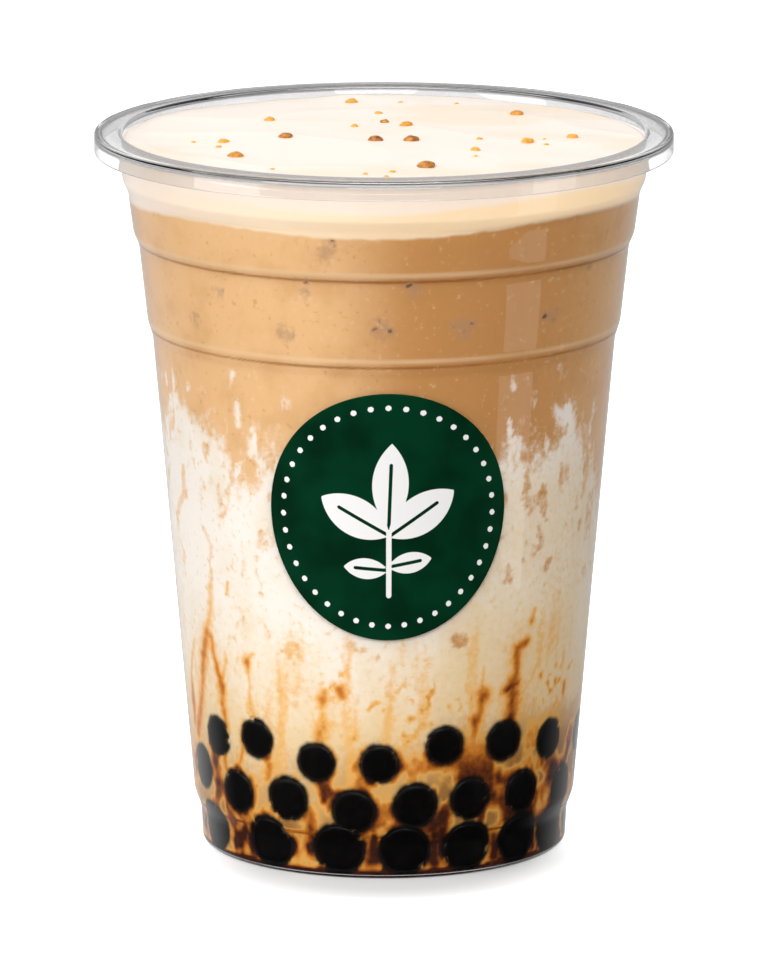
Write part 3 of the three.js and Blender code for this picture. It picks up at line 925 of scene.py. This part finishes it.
def drink_masks(rings):
    """The masks of the drink at every ring point, by name."""
    azimuth, z = np.arctan2(rings[..., 0], -rings[..., 1]), rings[..., 2]
    x = azimuth * WRAP_RADIUS
    flecks = noise(x, z, 1.5, 2.6, 62) - 0.5
    gap = pearl_gap(azimuth, z)
    to_right = smooth(0.0, 0.5, azimuth) * smooth(2.2, 1.2, azimuth)
    warmer_right = WARM_RIGHT * to_right * smooth(84, 62, z) * (1 + smooth(30, 20, z))
    warmth = np.interp(z, WARM_HEIGHTS, WARM_SHARES) + warmer_right
    warmth = warmth + smooth(62, 40, z) * 0.3 * (noise(x, z, 7, 16, 68) - 0.5)
    # The depth mask: painted shade and uneven tea in front and at the right, uneven tea round the
    # back.
    turned = (azimuth - DEEP_TEA_AND_SHADE_AZIMUTH + math.pi) % TURN - math.pi
    reach = DEEP_TEA_AND_SHADE_HALF_WIDTH * (1 + smooth(0, 0.3, turned))
    deep_tea_and_shade_front = np.exp(-((turned / reach) ** 2))
    deep_back = smooth(0.4, 0.75, noise(x, z, 60, 90, 69, 1)) * smooth(1.2, 2.0, np.abs(turned))
    uneven = 0.55 + 0.6 * noise(x, z, 12, 12, 65)
    return {
        "tea": tea_share(azimuth, z, flecks),
        "syrup": np.clip(syrup_share(azimuth, z, to_right, gap), 0, 1),
        "warmth": np.clip(warmth, 0, 1),
        "shade": bare_of_milk(gap, x, z),
        "leaf": strength_of(leaf_spots, azimuth, z, 1.7, 73),
        "cream": smooth(-1.0, 0.3, z - foam_line(azimuth) + 0.5 * flecks),
        "painted_step_shade": lines_at_steps(z, 0, STEP_SHADE_HALF_WIDTH) * uneven,
        "painted_step_highlight": lines_at_steps(z, STEP_HIGHLIGHT_RISE, STEP_HIGHLIGHT_HALF_WIDTH) * uneven,
        "depth": np.maximum(deep_tea_and_shade_front, deep_back),
    }


for piece, rings in ((milk, milk_rings), (tea, tea_rings)):
    for name, values in drink_masks(rings).items():
        paint(piece, name, values)
print("Masks painted:", ", ".join(a.name for a in milk.data.attributes if a.data_type == "FLOAT"))

# %% [markdown]
# ## Milk, tea and syrup
#
# One material reads the masks and lays the colours over each other as the liquids do: white milk,
# warmer where syrup has dissolved in it, tan tea, then syrup from amber where it is thin to nearly
# black where it is thick. Noise finer than the mesh roughens each edge. The drink lies against
# plastic, so the gloss comes from the cup and the liquid itself is nearly matte.

# %% Drink material
drink_colours, tree = empty_material("milk_tea_with_brown_sugar")
place = node(tree, "TexCoord").outputs["Object"]
fleck = {"Vector": place, "Scale": 1 / (1.1 * MM), "Detail": 4.0, "Roughness": 0.6}
flecks = node(tree, "TexNoise", fleck).outputs["Fac"]
offset = node(tree, "Math", {0: flecks, 1: 0.5}, operation="SUBTRACT").outputs[0]


def roughened(name, amount):
    """A painted mask with shader noise added, so that its edge is finer than the mesh."""
    painted = node(tree, "Attribute", attribute_name=name).outputs["Fac"]
    inputs = {0: offset, 1: amount, 2: painted}
    return node(tree, "Math", inputs, operation="MULTIPLY_ADD").outputs[0]


def over(under, value, low, high, colour, strength=1.0):
    """A colour laid over another where a value rises from low to high."""
    rise = {"Value": value, "From Min": low, "From Max": high, "To Max": strength}
    amount = node(tree, "MapRange", rise, interpolation_type="SMOOTHSTEP").outputs[0]
    laid = {0: amount, 6: under, 7: colour}
    return node(tree, "Mix", laid, data_type="RGBA").outputs[2]


def layered(colour, layers):
    """A colour with a list of layers over it, each laid over those before it."""
    for layer in layers:
        colour = over(colour, *layer)
    return colour


mottle = {"Vector": place, "Scale": 1 / (7 * MM), "Detail": 3.0}
mottled = node(tree, "TexNoise", mottle).outputs["Fac"]
syrup = roughened("syrup", 0.35)
warmth = roughened("warmth", 0.3)
tan = layered(
    "#ebc593",
    [
        # Deeper tan where the depth mask is high: partly painted shade on the less lit side.
        (roughened("depth", 0.1), 0.0, 0.95, "#cd995d"),
        (mottled, 0.45, 0.75, "#c99455", 0.3),
        (flecks, 0.6, 0.72, "#bd8448", 0.35),
        (flecks, 0.4, 0.3, "#efd3ab", 0.3),
        # Painted highlight and painted shade along the wall's steps.
        (roughened("painted_step_highlight", 0.1), 0.1, 1.0, "#f3d9b2", 0.6),
        (roughened("painted_step_shade", 0.2), 0.15, 0.9, "#9c5f2a", 0.75),
    ],
)
colour = layered(
    "#f7f1e9",
    [
        (mottled, 0.45, 0.75, "#f0e4d0", 0.6),
        (flecks, 0.56, 0.7, "#e8cfa2", 0.45),
        (warmth, 0.0, 0.42, "#edd7ae"),
        (warmth, 0.4, 0.72, "#d4ab70"),
        (warmth, 0.7, 1.0, "#a9763a"),
        (roughened("tea", 0.9), 0.18, 0.85, tan),
        (roughened("leaf", 0.9), 0.1, 0.5, "#b8977a", 0.6),
        (roughened("leaf", 0.3), 0.5, 0.95, "#5f4a35", 0.85),
        (syrup, 0.02, 0.34, "#efb95c", 0.85),
        (syrup, 0.26, 0.56, "#d07d1b", 0.9),
        (syrup, 0.5, 0.8, "#8f470d", 0.95),
        (syrup, 0.7, 1.0, "#3f1704"),
        (roughened("cream", 0.2), 0.1, 0.9, "#f6e4c8"),
        (roughened("shade", 0.12), 0.0, 0.95, "#050404"),
    ],
)
liquid = {"Base Color": colour, "Roughness": 0.5, "Specular IOR Level": 0.2}
body = node(tree, "BsdfPrincipled", liquid)
node(tree, "OutputMaterial", {"Surface": body.outputs[0]})
for piece in (milk, tea):
    piece.data.materials.append(drink_colours)
print("Liquid roughness:", liquid["Roughness"])

# %% [markdown]
# ## Milk foam
#
# The cap is milk and cream whipped thick, spooned on. It fills the cup to just under its rim, and
# its top is nearly level, with soft folds left by the spoon and an edge that clings higher or
# lower to the wall. The top is one height formula over the plane, and the side follows the wall.

# %% Foam shape
FOAM_TOP = 121.1
FOAM_DOME = 0.6
FOAM_PEAK = (346, 93)
FOAM_SIDE_RINGS = 34
FOAM_TOP_RINGS = 140


def on_plane(u, v, height):
    """x and y where the line of sight through photo pixel (u, v) meets a level plane."""
    x0, y0, z0 = sight(u, v, 0.0)
    x1, y1, z1 = sight(u, v, CAMERA_DISTANCE)
    t = (height - z0) / (z1 - z0)
    return x0 + t * (x1 - x0), y0 + t * (y1 - y0)


peak_x, peak_y = on_plane(*FOAM_PEAK, FOAM_TOP)


def foam_top(x, y):
    """Height of the foam: a shallow dome, spiral ripples, folds from noise, a peak and a wavy edge.

    The folds are 1 - |2n - 1| of noise, which makes ridges, and the edge is drawn up the wall."""
    radius, azimuth = np.hypot(x, y), np.arctan2(x, -y)
    share = np.minimum(1, radius / wet_radius(FOAM_TOP))
    ripple = 0.14 * np.sin(radius * 0.2 + azimuth) * share
    folds = 0.4 * (1 - np.abs(2 * noise(x + 0.4 * y, y, 26, 24, 81, 2) - 1)) ** 2
    fine = 0.1 * (noise(x, y, 7, 9, 82) - 0.5)
    edge = share**14 * (0.5 * noise(azimuth * WRAP_RADIUS, 0.0, 9, 9, 83, 2) + 0.1)
    peak = 0.8 * np.exp(-((x - peak_x) ** 2 + (y - peak_y) ** 2) / 2.2**2)
    return FOAM_TOP - 0.2 + FOAM_DOME * (1 - share**2) + ripple + folds + fine + edge + peak


rim_z = foam_top(*around(wet_radius(FOAM_TOP), drink_turn, 0.0)[:, :2].T)
foam_side = side_rings(foam_line(drink_turn), rim_z, FOAM_SIDE_RINGS)
inward = np.linspace(1, 0, FOAM_TOP_RINGS + 1)[1:, None] ** 0.8
foam_plan = around(inward * wet_radius(FOAM_TOP), drink_turn, 0.0)
foam_plan[..., 2] = foam_top(foam_plan[..., 0], foam_plan[..., 1])
foam_rings = np.concatenate([cap_rings(foam_line), foam_side, foam_plan])
foam = skin("milk_foam_cap", foam_rings)
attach(foam, "root")
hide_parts("milk_foam")

# %% [markdown]
# ## Crumbs of brown sugar
#
# Grains of brown sugar and a few drops of syrup lie on the foam, half sunk in it. Each grain is a
# ball with a lumpy surface. The dark ones and the amber ones are one piece, and a painted number
# says how dark each is. Syrup seeps from them, so the foam is stained close round each.

# %% Crumb shapes
# Each crumb: photo pixel u, v, radius in mm, how dark it is.
CRUMBS = [
    (427, 165, 1.5, 0.9), (412, 141, 1.3, 0.9), (376, 141, 1.25, 0.95), (286, 137.5, 1.2, 0.85),
    (236, 154, 1.3, 0.6), (352, 99, 1.05, 0.4), (385, 122.5, 0.8, 0.8), (407, 126, 1.05, 0.45),
    (517, 114, 1.15, 0.55), (528, 142, 1.1, 0.35), (573, 136.5, 1.0, 0.25), (476, 150.5, 0.8, 0.2),
    (480, 139.5, 0.5, 0.1), (270, 120, 0.9, 0.3), (355, 126.5, 0.65, 0.15), (224, 140, 0.95, 0.2),
    (379, 113.5, 0.6, 0.1), (219, 145, 0.5, 0.05), (194, 140, 0.4, 0.05), (366, 172.5, 0.4, 0.0),
    (393, 170.5, 0.5, 0.0), (547, 144, 0.4, 0.0), (387, 175, 0.4, 0.0), (457, 102, 0.4, 0.05),
    (401, 101, 0.4, 0.0), (476, 156, 0.3, 0.1), (273, 168, 0.4, 0.0), (545, 139, 0.3, 0.0),
]
CRUMB_RINGS = 13
CRUMB_COLUMNS = 18

crumb_u, crumb_v, crumb_size, crumb_dark = np.array(CRUMBS, float).T
crumb_x, crumb_y = on_plane(crumb_u, crumb_v, FOAM_TOP + 0.5)
crumb_ball = round_ball(CRUMB_RINGS, CRUMB_COLUMNS)
index = np.arange(len(CRUMBS))[:, None, None]
lump_x = crumb_ball[..., 0] * 4 + index * 13
lump_z = crumb_ball[..., 2] * 4 + crumb_ball[..., 1] * 4
lumps = 0.82 + 0.42 * noise(lump_x, lump_z, 2.4, 2.4, 91, 2)
flat = np.array([1, 1, 0.55])
crumb_rings = crumb_ball * flat * crumb_size[:, None, None, None] * lumps[..., None]
crumb_z = foam_top(crumb_x, crumb_y) + 0.04 * crumb_size
crumb_rings = crumb_rings + np.stack([crumb_x, crumb_y, crumb_z], 1)[:, None, None]
crumbs = skin("brown_sugar_crumbs", crumb_rings)
paint(crumbs, "dark", np.broadcast_to(crumb_dark[:, None, None], crumb_rings.shape[:3]))
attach(crumbs, "root")
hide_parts("milk_foam")

# %% Crumb material
# Melted brown sugar is clear amber where it is thin and brown where it is thick, with a wet gloss.
sugar, tree = empty_material("brown_sugar_grains")
place = node(tree, "TexCoord").outputs["Object"]
dark = node(tree, "Attribute", attribute_name="dark").outputs["Fac"]
crystal = {"Vector": place, "Scale": 1 / (0.8 * MM), "Detail": 3.0}
crystals = node(tree, "TexNoise", crystal).outputs["Fac"]
shifted = node(tree, "Math", {0: crystals, 1: 1.6, 2: dark}, operation="MULTIPLY_ADD")
darker = {"Value": shifted.outputs[0], "From Min": 1.0, "From Max": 2.1}
depth = node(tree, "MapRange", darker).outputs[0]
caramel = {0: depth, 6: "#f2a83a", 7: "#74350e"}
crumb_colour = node(tree, "Mix", caramel, data_type="RGBA").outputs[2]
bump = node(tree, "Bump", {"Height": crystals, "Strength": 0.6, "Distance": 0.3 * MM})
grain = {"Base Color": crumb_colour, "Normal": bump.outputs[0], "Roughness": 0.38}
body = node(tree, "BsdfPrincipled", grain)
node(tree, "OutputMaterial", {"Surface": body.outputs[0]})
crumbs.data.materials.append(sugar)
print("Crumbs:", len(CRUMBS))

# %% [markdown]
# ## The foam's finish
#
# Foam is nearly white, a little warmer in broad swirls on its top and near the tea, where cream has
# sunk and runs along the wall in level streaks. Its bubbles are too fine to show, so the surface is
# satin with a faint bump.

# %% Foam masks and material
# Painted glow: the foam's side gets a faint emission, more so at the right, for the light that its
# bright top lets through.
FOAM_PAINTED_GLOW = 0.12
PAINTED_GLOW_RIGHT = 1.1

foam_azimuth = np.arctan2(foam_rings[..., 0], -foam_rings[..., 1])
above_line = foam_rings[..., 2] - foam_line(foam_azimuth)
is_top = np.zeros(foam_rings.shape[:2])
is_top[DRINK_CAP_RINGS + FOAM_SIDE_RINGS - 1 :] = 1
level_streaks = noise(foam_azimuth * WRAP_RADIUS, foam_rings[..., 2], 22, 1.6, 84)
rightward = smooth(0.0, 0.9, foam_azimuth) * smooth(2.8, 1.8, foam_azimuth)
height_over = above_line + 1.2 * (level_streaks - 0.5) + 0.6 * rightward
share_round = np.clip(0.5 + 0.5 * np.sin(foam_azimuth + 0.5), 0.05, 1)
bare_left = smooth(0.35, 0.1, share_round) * smooth(3.2, 1.8, height_over)
cream = (1 - smooth(3.5, 4.9, height_over)) * (1 - bare_left) * share_round * (1 - is_top)
painted_glow = smooth(-0.6, 0.8, above_line) * (1 + PAINTED_GLOW_RIGHT * rightward) * (1 - is_top)
paint(foam, "painted_glow", painted_glow)
offsets = foam_rings[..., None, :2] - np.stack([crumb_x, crumb_y], 1)
crumb_gap = np.hypot(offsets[..., 0], offsets[..., 1]) - crumb_size
foam_x, foam_y = foam_rings[..., 0], foam_rings[..., 1]
ragged_gap = crumb_gap.min(axis=-1) + 1.2 * (noise(foam_x, foam_y, 1.6, 1.6, 85) - 0.5)
paint(foam, "cream", cream)
paint(foam, "stain", is_top * (1 - smooth(-0.2, 0.75, ragged_gap)))
swirl = noise(foam_x + 0.4 * foam_y, foam_y, 24, 14, 86)
paint(foam, "swirl", is_top * smooth(0.45, 0.75, swirl))

whipped, tree = empty_material("whipped_milk_foam")
place = node(tree, "TexCoord").outputs["Object"]
cream, stain, swirl, painted_glow = (
    node(tree, "Attribute", attribute_name=name).outputs["Fac"]
    for name in ("cream", "stain", "swirl", "painted_glow")
)
colour = layered(
    "#f2e6da",
    [
        (swirl, 0.0, 1.0, "#f0ddc6", 0.8),
        (cream, 0.0, 1.0, "#f3dbb2"),
        (stain, 0.1, 1.0, "#f3cd8c", 0.55),
    ],
)
# Real bubbles are finer than 0.2 mm, so they are drawn coarser than they are, to show at all.
bubble = {"Vector": place, "Scale": 1 / (1.2 * MM), "Detail": 3.0}
bubbles = node(tree, "TexNoise", bubble).outputs["Fac"]
relief = {"Height": bubbles, "Strength": 0.12, "Distance": 0.2 * MM}
bump = node(tree, "Bump", relief)
# Painted glow: emission on the foam's side, from the mask above.
painted_glow_strength = node(tree, "Math", {0: painted_glow, 1: FOAM_PAINTED_GLOW}, operation="MULTIPLY").outputs[0]
satin = {"Base Color": colour, "Normal": bump.outputs[0], "Roughness": 0.45}
satin |= {"Emission Color": "#ffe9cf", "Emission Strength": painted_glow_strength}
body = node(tree, "BsdfPrincipled", satin)
node(tree, "OutputMaterial", {"Surface": body.outputs[0]})
foam.data.materials.append(whipped)
print("Foam roughness:", satin["Roughness"])

# %% [markdown]
# ## The label
#
# The cup carries a round print in dark green with a design in white. Here the design is a plain
# one: a sprig of tea leaves inside a ring of dots. It could be an image, but a signed distance is
# sharper: at every point of the disc, how many millimetres it lies inside the white shapes. The
# material turns white where that number passes zero. Screen printed ink is opaque and satin, and
# a little uneven in depth.

# %% Label shape
LABEL_HALF_WIDTH = 20.4
LABEL_HALF_HEIGHT = 21.4
LABEL_HEIGHT = 63.8
LABEL_AZIMUTH = math.radians(1.1)
LABEL_GAP = 0.04
LABEL_THICKNESS = 0.12
LABEL_COLUMNS = 256
LABEL_RINGS = 90

label_turn = turns(LABEL_COLUMNS)
out = np.concatenate([np.linspace(0, 1, 8), np.linspace(1, 0, LABEL_RINGS)])[:, None]
lift = np.concatenate([np.zeros(8), np.full(LABEL_RINGS, LABEL_THICKNESS)])[:, None] + LABEL_GAP
label_x = LABEL_HALF_WIDTH * out * np.cos(label_turn)
label_y = LABEL_HALF_HEIGHT * out * np.sin(label_turn)
label_z = LABEL_HEIGHT + label_y
label_turned = LABEL_AZIMUTH + label_x / wall_radius(LABEL_HEIGHT)
label = skin("printed_label", around(wall_radius(label_z) + lift, label_turned, label_z))
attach(label, "root")
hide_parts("label")


# %% Label print
def inside_stem(x, y, foot, tip, width):
    """Millimetres inside a straight stem with round ends: half its width less the distance."""
    foot, line = np.array(foot, float), np.subtract(tip, foot)
    t = np.clip(((x - foot[0]) * line[0] + (y - foot[1]) * line[1]) / (line @ line), 0, 1)
    return width / 2 - np.hypot(x - foot[0] - t * line[0], y - foot[1] - t * line[1])


def inside_leaf(x, y, foot, tip, width):
    """Millimetres inside a leaf: the lens where two equal circles overlap, less its middle vein.

    The circles pass through foot and tip, and the vein is a stem from the foot most of the way."""
    foot, line = np.array(foot, float), np.subtract(tip, foot)
    half = np.linalg.norm(line) / 2
    along = line / (2 * half)
    p = (x - foot[0]) * along[0] + (y - foot[1]) * along[1] - half
    q = (y - foot[1]) * along[0] - (x - foot[0]) * along[1]
    radius = (half**2 + (width / 2) ** 2) / width
    lens = radius - np.hypot(p, np.abs(q) + radius - width / 2)
    vein = inside_stem(x, y, foot, foot + 0.74 * line, 0.6)
    return np.minimum(lens, -vein)


DOT_COUNT = 40
DOT_SHARE = 0.885
DOT_RADIUS = 0.5
dot_step = TURN / DOT_COUNT
label_angle = np.arctan2(label_y / LABEL_HALF_HEIGHT, label_x / LABEL_HALF_WIDTH)
dot_angle = np.round(label_angle / dot_step) * dot_step
dot_x = LABEL_HALF_WIDTH * DOT_SHARE * np.cos(dot_angle)
dot_y = LABEL_HALF_HEIGHT * DOT_SHARE * np.sin(dot_angle)
dots = DOT_RADIUS - np.hypot(label_x - dot_x, label_y - dot_y)
print_shapes = [
    dots,
    inside_leaf(label_x, label_y, (0.2, -3.2), (-11.2, 3.4), 6.6),
    inside_leaf(label_x, label_y, (0.0, -3.4), (11.0, 4.4), 6.6),
    inside_leaf(label_x, label_y, (0.1, -1.6), (0.6, 12.8), 6.0),
    inside_leaf(label_x, label_y, (0.0, -9.2), (-7.6, -8.6), 3.6),
    inside_leaf(label_x, label_y, (0.0, -8.6), (7.4, -7.2), 3.6),
    inside_stem(label_x, label_y, (0.1, -13.6), (0.1, -2.6), 0.9),
]
paint(label, "print", np.max(print_shapes, axis=0))

ink, tree = empty_material("screen_printed_ink")
place = node(tree, "TexCoord").outputs["Object"]
distance = node(tree, "Attribute", attribute_name="print").outputs["Fac"]
inked = node(tree, "TexNoise", {"Vector": place, "Scale": 1 / (9 * MM), "Detail": 2.0})
colour = over("#01341d", inked.outputs["Fac"], 0.35, 0.7, "#012614")
colour = over(colour, distance, -0.05, 0.05, "#eceae8")
printed = {"Base Color": colour, "Roughness": 0.35, "Specular IOR Level": 0.05}
body = node(tree, "BsdfPrincipled", printed)
node(tree, "OutputMaterial", {"Surface": body.outputs[0]})
label.data.materials.append(ink)
print("Label print shapes:", len(print_shapes))

# %% [markdown]
# ## Floor and lamps
#
# The cup stands on a plain white table that runs out of sight. A soft box at the left and a wide
# one in front light it, one overhead lights the foam, and a strip at the right makes the pale
# streak down the plastic.

# %% Floor
# The table is a matt white board that glows. Its glow is dimmer near the cup and more so in front
# of it: a painted shadow over the soft real one.
FLOOR_RADIUS = 4.0
FLOOR_GLOW_IN_PAINTED_SHADOW = 0.2
floor_turn = turns(96)
floor_reach = np.array([0, 0.05, 0.12, 0.3, 0.7, 1.5, FLOOR_RADIUS]) / MM
under_floor = around(floor_reach[:, None], floor_turn, -2.0)
floor_rings = np.concatenate([under_floor, around(floor_reach[::-1, None], floor_turn, 0.0)])
floor = skin("floor", floor_rings)

table_top, tree = empty_material("white_table")
place = node(tree, "TexCoord").outputs["Object"]
# Painted shadow: the glow dims towards a point 16 mm in front of the cup's axis.
painted_shadow_centre = {0: place, 1: (0, -0.016, 0)}
reach = node(tree, "VectorMath", painted_shadow_centre, operation="DISTANCE").outputs["Value"]
rise = {"Value": reach, "From Min": 0.02, "From Max": 0.042, "To Min": FLOOR_GLOW_IN_PAINTED_SHADOW, "To Max": 1.0}
strength = node(tree, "MapRange", rise, interpolation_type="SMOOTHSTEP").outputs[0]
diffuse = node(tree, "BsdfDiffuse", {"Color": "#c4c4c4"})
painted_glow = node(tree, "Emission", {"Color": "#ffffff", "Strength": strength})
lit = node(tree, "AddShader", {0: diffuse.outputs[0], 1: painted_glow.outputs[0]}).outputs[0]
rays = node(tree, "LightPath").outputs
depths = {0: rays["Diffuse Depth"], 1: rays["Glossy Depth"]}
bounced = node(tree, "Math", depths).outputs[0]
gone = node(tree, "BsdfTransparent").outputs[0]
lit = node(tree, "MixShader", {0: bounced, 1: lit, 2: gone})
node(tree, "OutputMaterial", {"Surface": lit.outputs[0]})
floor.data.materials.append(table_top)
# The room's own light stands in for what the table throws back, so that its share can be set.
floor.visible_glossy = False
floor.visible_diffuse = False
floor.visible_shadow = False

# %% Lamps
LAMPS = [
    # name, azimuth and elevation in degrees, distance in m, width and height in m, radiance
    ("left_box", -64, 22, 0.9, 0.5, 0.7, 3.0),
    ("right_strip", 70, -2, 0.9, 0.32, 0.6, 0.8),
    ("front_box", 4, 32, 1.5, 0.9, 0.7, 4.4),
    ("overhead_box", -20, 76, 0.9, 0.8, 0.8, 0.95),
]


def soft_box(name, azimuth, elevation, distance, width, height, radiance):
    """A rectangular lamp that faces the cup. Its power is radiance times pi times its area."""
    data = bpy.data.lights.new(name, "AREA")
    data.shape = "RECTANGLE"
    data.size = width
    data.size_y = height
    data.energy = radiance * math.pi * width * height
    lamp = bpy.data.objects.new(name, data)
    scene.collection.objects.link(lamp)
    a, e = math.radians(azimuth), math.radians(elevation)
    aim = 0.06
    lamp.location = (
        distance * math.cos(e) * math.sin(a),
        -distance * math.cos(e) * math.cos(a),
        aim + distance * math.sin(e),
    )
    lamp.rotation_euler = (math.radians(90) - e, 0, a)
    lamp.visible_camera = False


for lamp in LAMPS:
    soft_box(*lamp)
print("Lamps:", ", ".join(lamp[0] for lamp in LAMPS))

# %% [markdown]
# ## The room
#
# The room is the world's light. A camera ray, and one that passes through the plastic, meets
# plain white, as the photograph's ground is. What lights the drink is dimmer, more so at the
# right, and what the plastic mirrors is dimmer still towards the floor and the front, where a
# studio is dark. Light Path tells these rays apart, and all else depends on direction alone.

# %% World
ROOM_LIGHT_LEFT = 0.92
ROOM_LIGHT_RIGHT = 0.34
ROOM_LIGHT_BACK = 1.1
INNER_MIRROR = 0.7
DARK_ROOM = 0.02

world = bpy.data.worlds.new("studio")
world.use_nodes = True
world.node_tree.nodes.clear()
tree = world.node_tree
direction = node(tree, "TexCoord").outputs["Generated"]
heading = node(tree, "SeparateXYZ", {0: direction})
sides = {"Value": heading.outputs["X"], "From Min": -1}
sides |= {"To Min": ROOM_LIGHT_LEFT, "To Max": ROOM_LIGHT_RIGHT}
room = node(tree, "MapRange", sides).outputs[0]
rise = {"Value": heading.outputs["Y"], "From Min": 0.2, "To Max": ROOM_LIGHT_BACK}
fill = node(tree, "MapRange", rise, interpolation_type="SMOOTHSTEP").outputs[0]
room = node(tree, "Math", {0: room, 1: fill}).outputs[0]
rays = node(tree, "LightPath").outputs
rise = {"Value": heading.outputs["Y"], "From Min": 0.2, "From Max": 0.9}
rise |= {"To Min": DARK_ROOM, "To Max": 0.75}
behind = node(tree, "MapRange", rise, interpolation_type="SMOOTHSTEP").outputs[0]
rise = {"Value": heading.outputs["Z"], "From Min": -0.05, "From Max": 0.35}
rise |= {"To Min": DARK_ROOM, "To Max": 0.55}
overhead = node(tree, "MapRange", rise, interpolation_type="SMOOTHSTEP").outputs[0]
mirrored = node(tree, "Math", {0: behind, 1: overhead}, operation="MAXIMUM").outputs[0]
dimmer = {"Value": heading.outputs["X"], "From Min": -1, "To Min": 1.1, "To Max": 0.5}
dimmer = node(tree, "MapRange", dimmer).outputs[0]
mirrored = node(tree, "Math", {0: mirrored, 1: dimmer}, operation="MULTIPLY").outputs[0]
# A ray that is thrown about inside the rim has met more of the room than one mirrored once.
again = {0: rays["Glossy Depth"], 1: 1.0}
again = node(tree, "Math", again, operation="SUBTRACT", use_clamp=True).outputs[0]
again = {0: again, 1: INNER_MIRROR, 2: mirrored}
mirrored = node(tree, "Math", again, operation="MULTIPLY_ADD").outputs[0]
depths = {0: rays["Diffuse Depth"], 1: rays["Glossy Depth"]}
bounced = node(tree, "Math", depths).outputs[0]
shade = node(tree, "Mix", {0: rays["Glossy Depth"], 2: room, 3: mirrored}).outputs[0]
shade = node(tree, "Mix", {0: rays["Diffuse Depth"], 2: shade, 3: room}).outputs[0]
seen = {0: rays["Is Camera Ray"], 1: rays["Is Transmission Ray"]}
seen = {0: node(tree, "Math", seen, operation="MAXIMUM").outputs[0], 1: bounced}
backdrop = node(tree, "Math", seen, operation="SUBTRACT").outputs[0]
strength = node(tree, "Mix", {0: backdrop, 2: shade, 3: 1.0}).outputs[0]
both = node(tree, "Background", {"Color": "#ffffff", "Strength": strength})
node(tree, "OutputWorld", {"Surface": both.outputs[0]})
scene.world = world
scene.view_settings.view_transform = "Standard"
print("View transform:", scene.view_settings.view_transform)
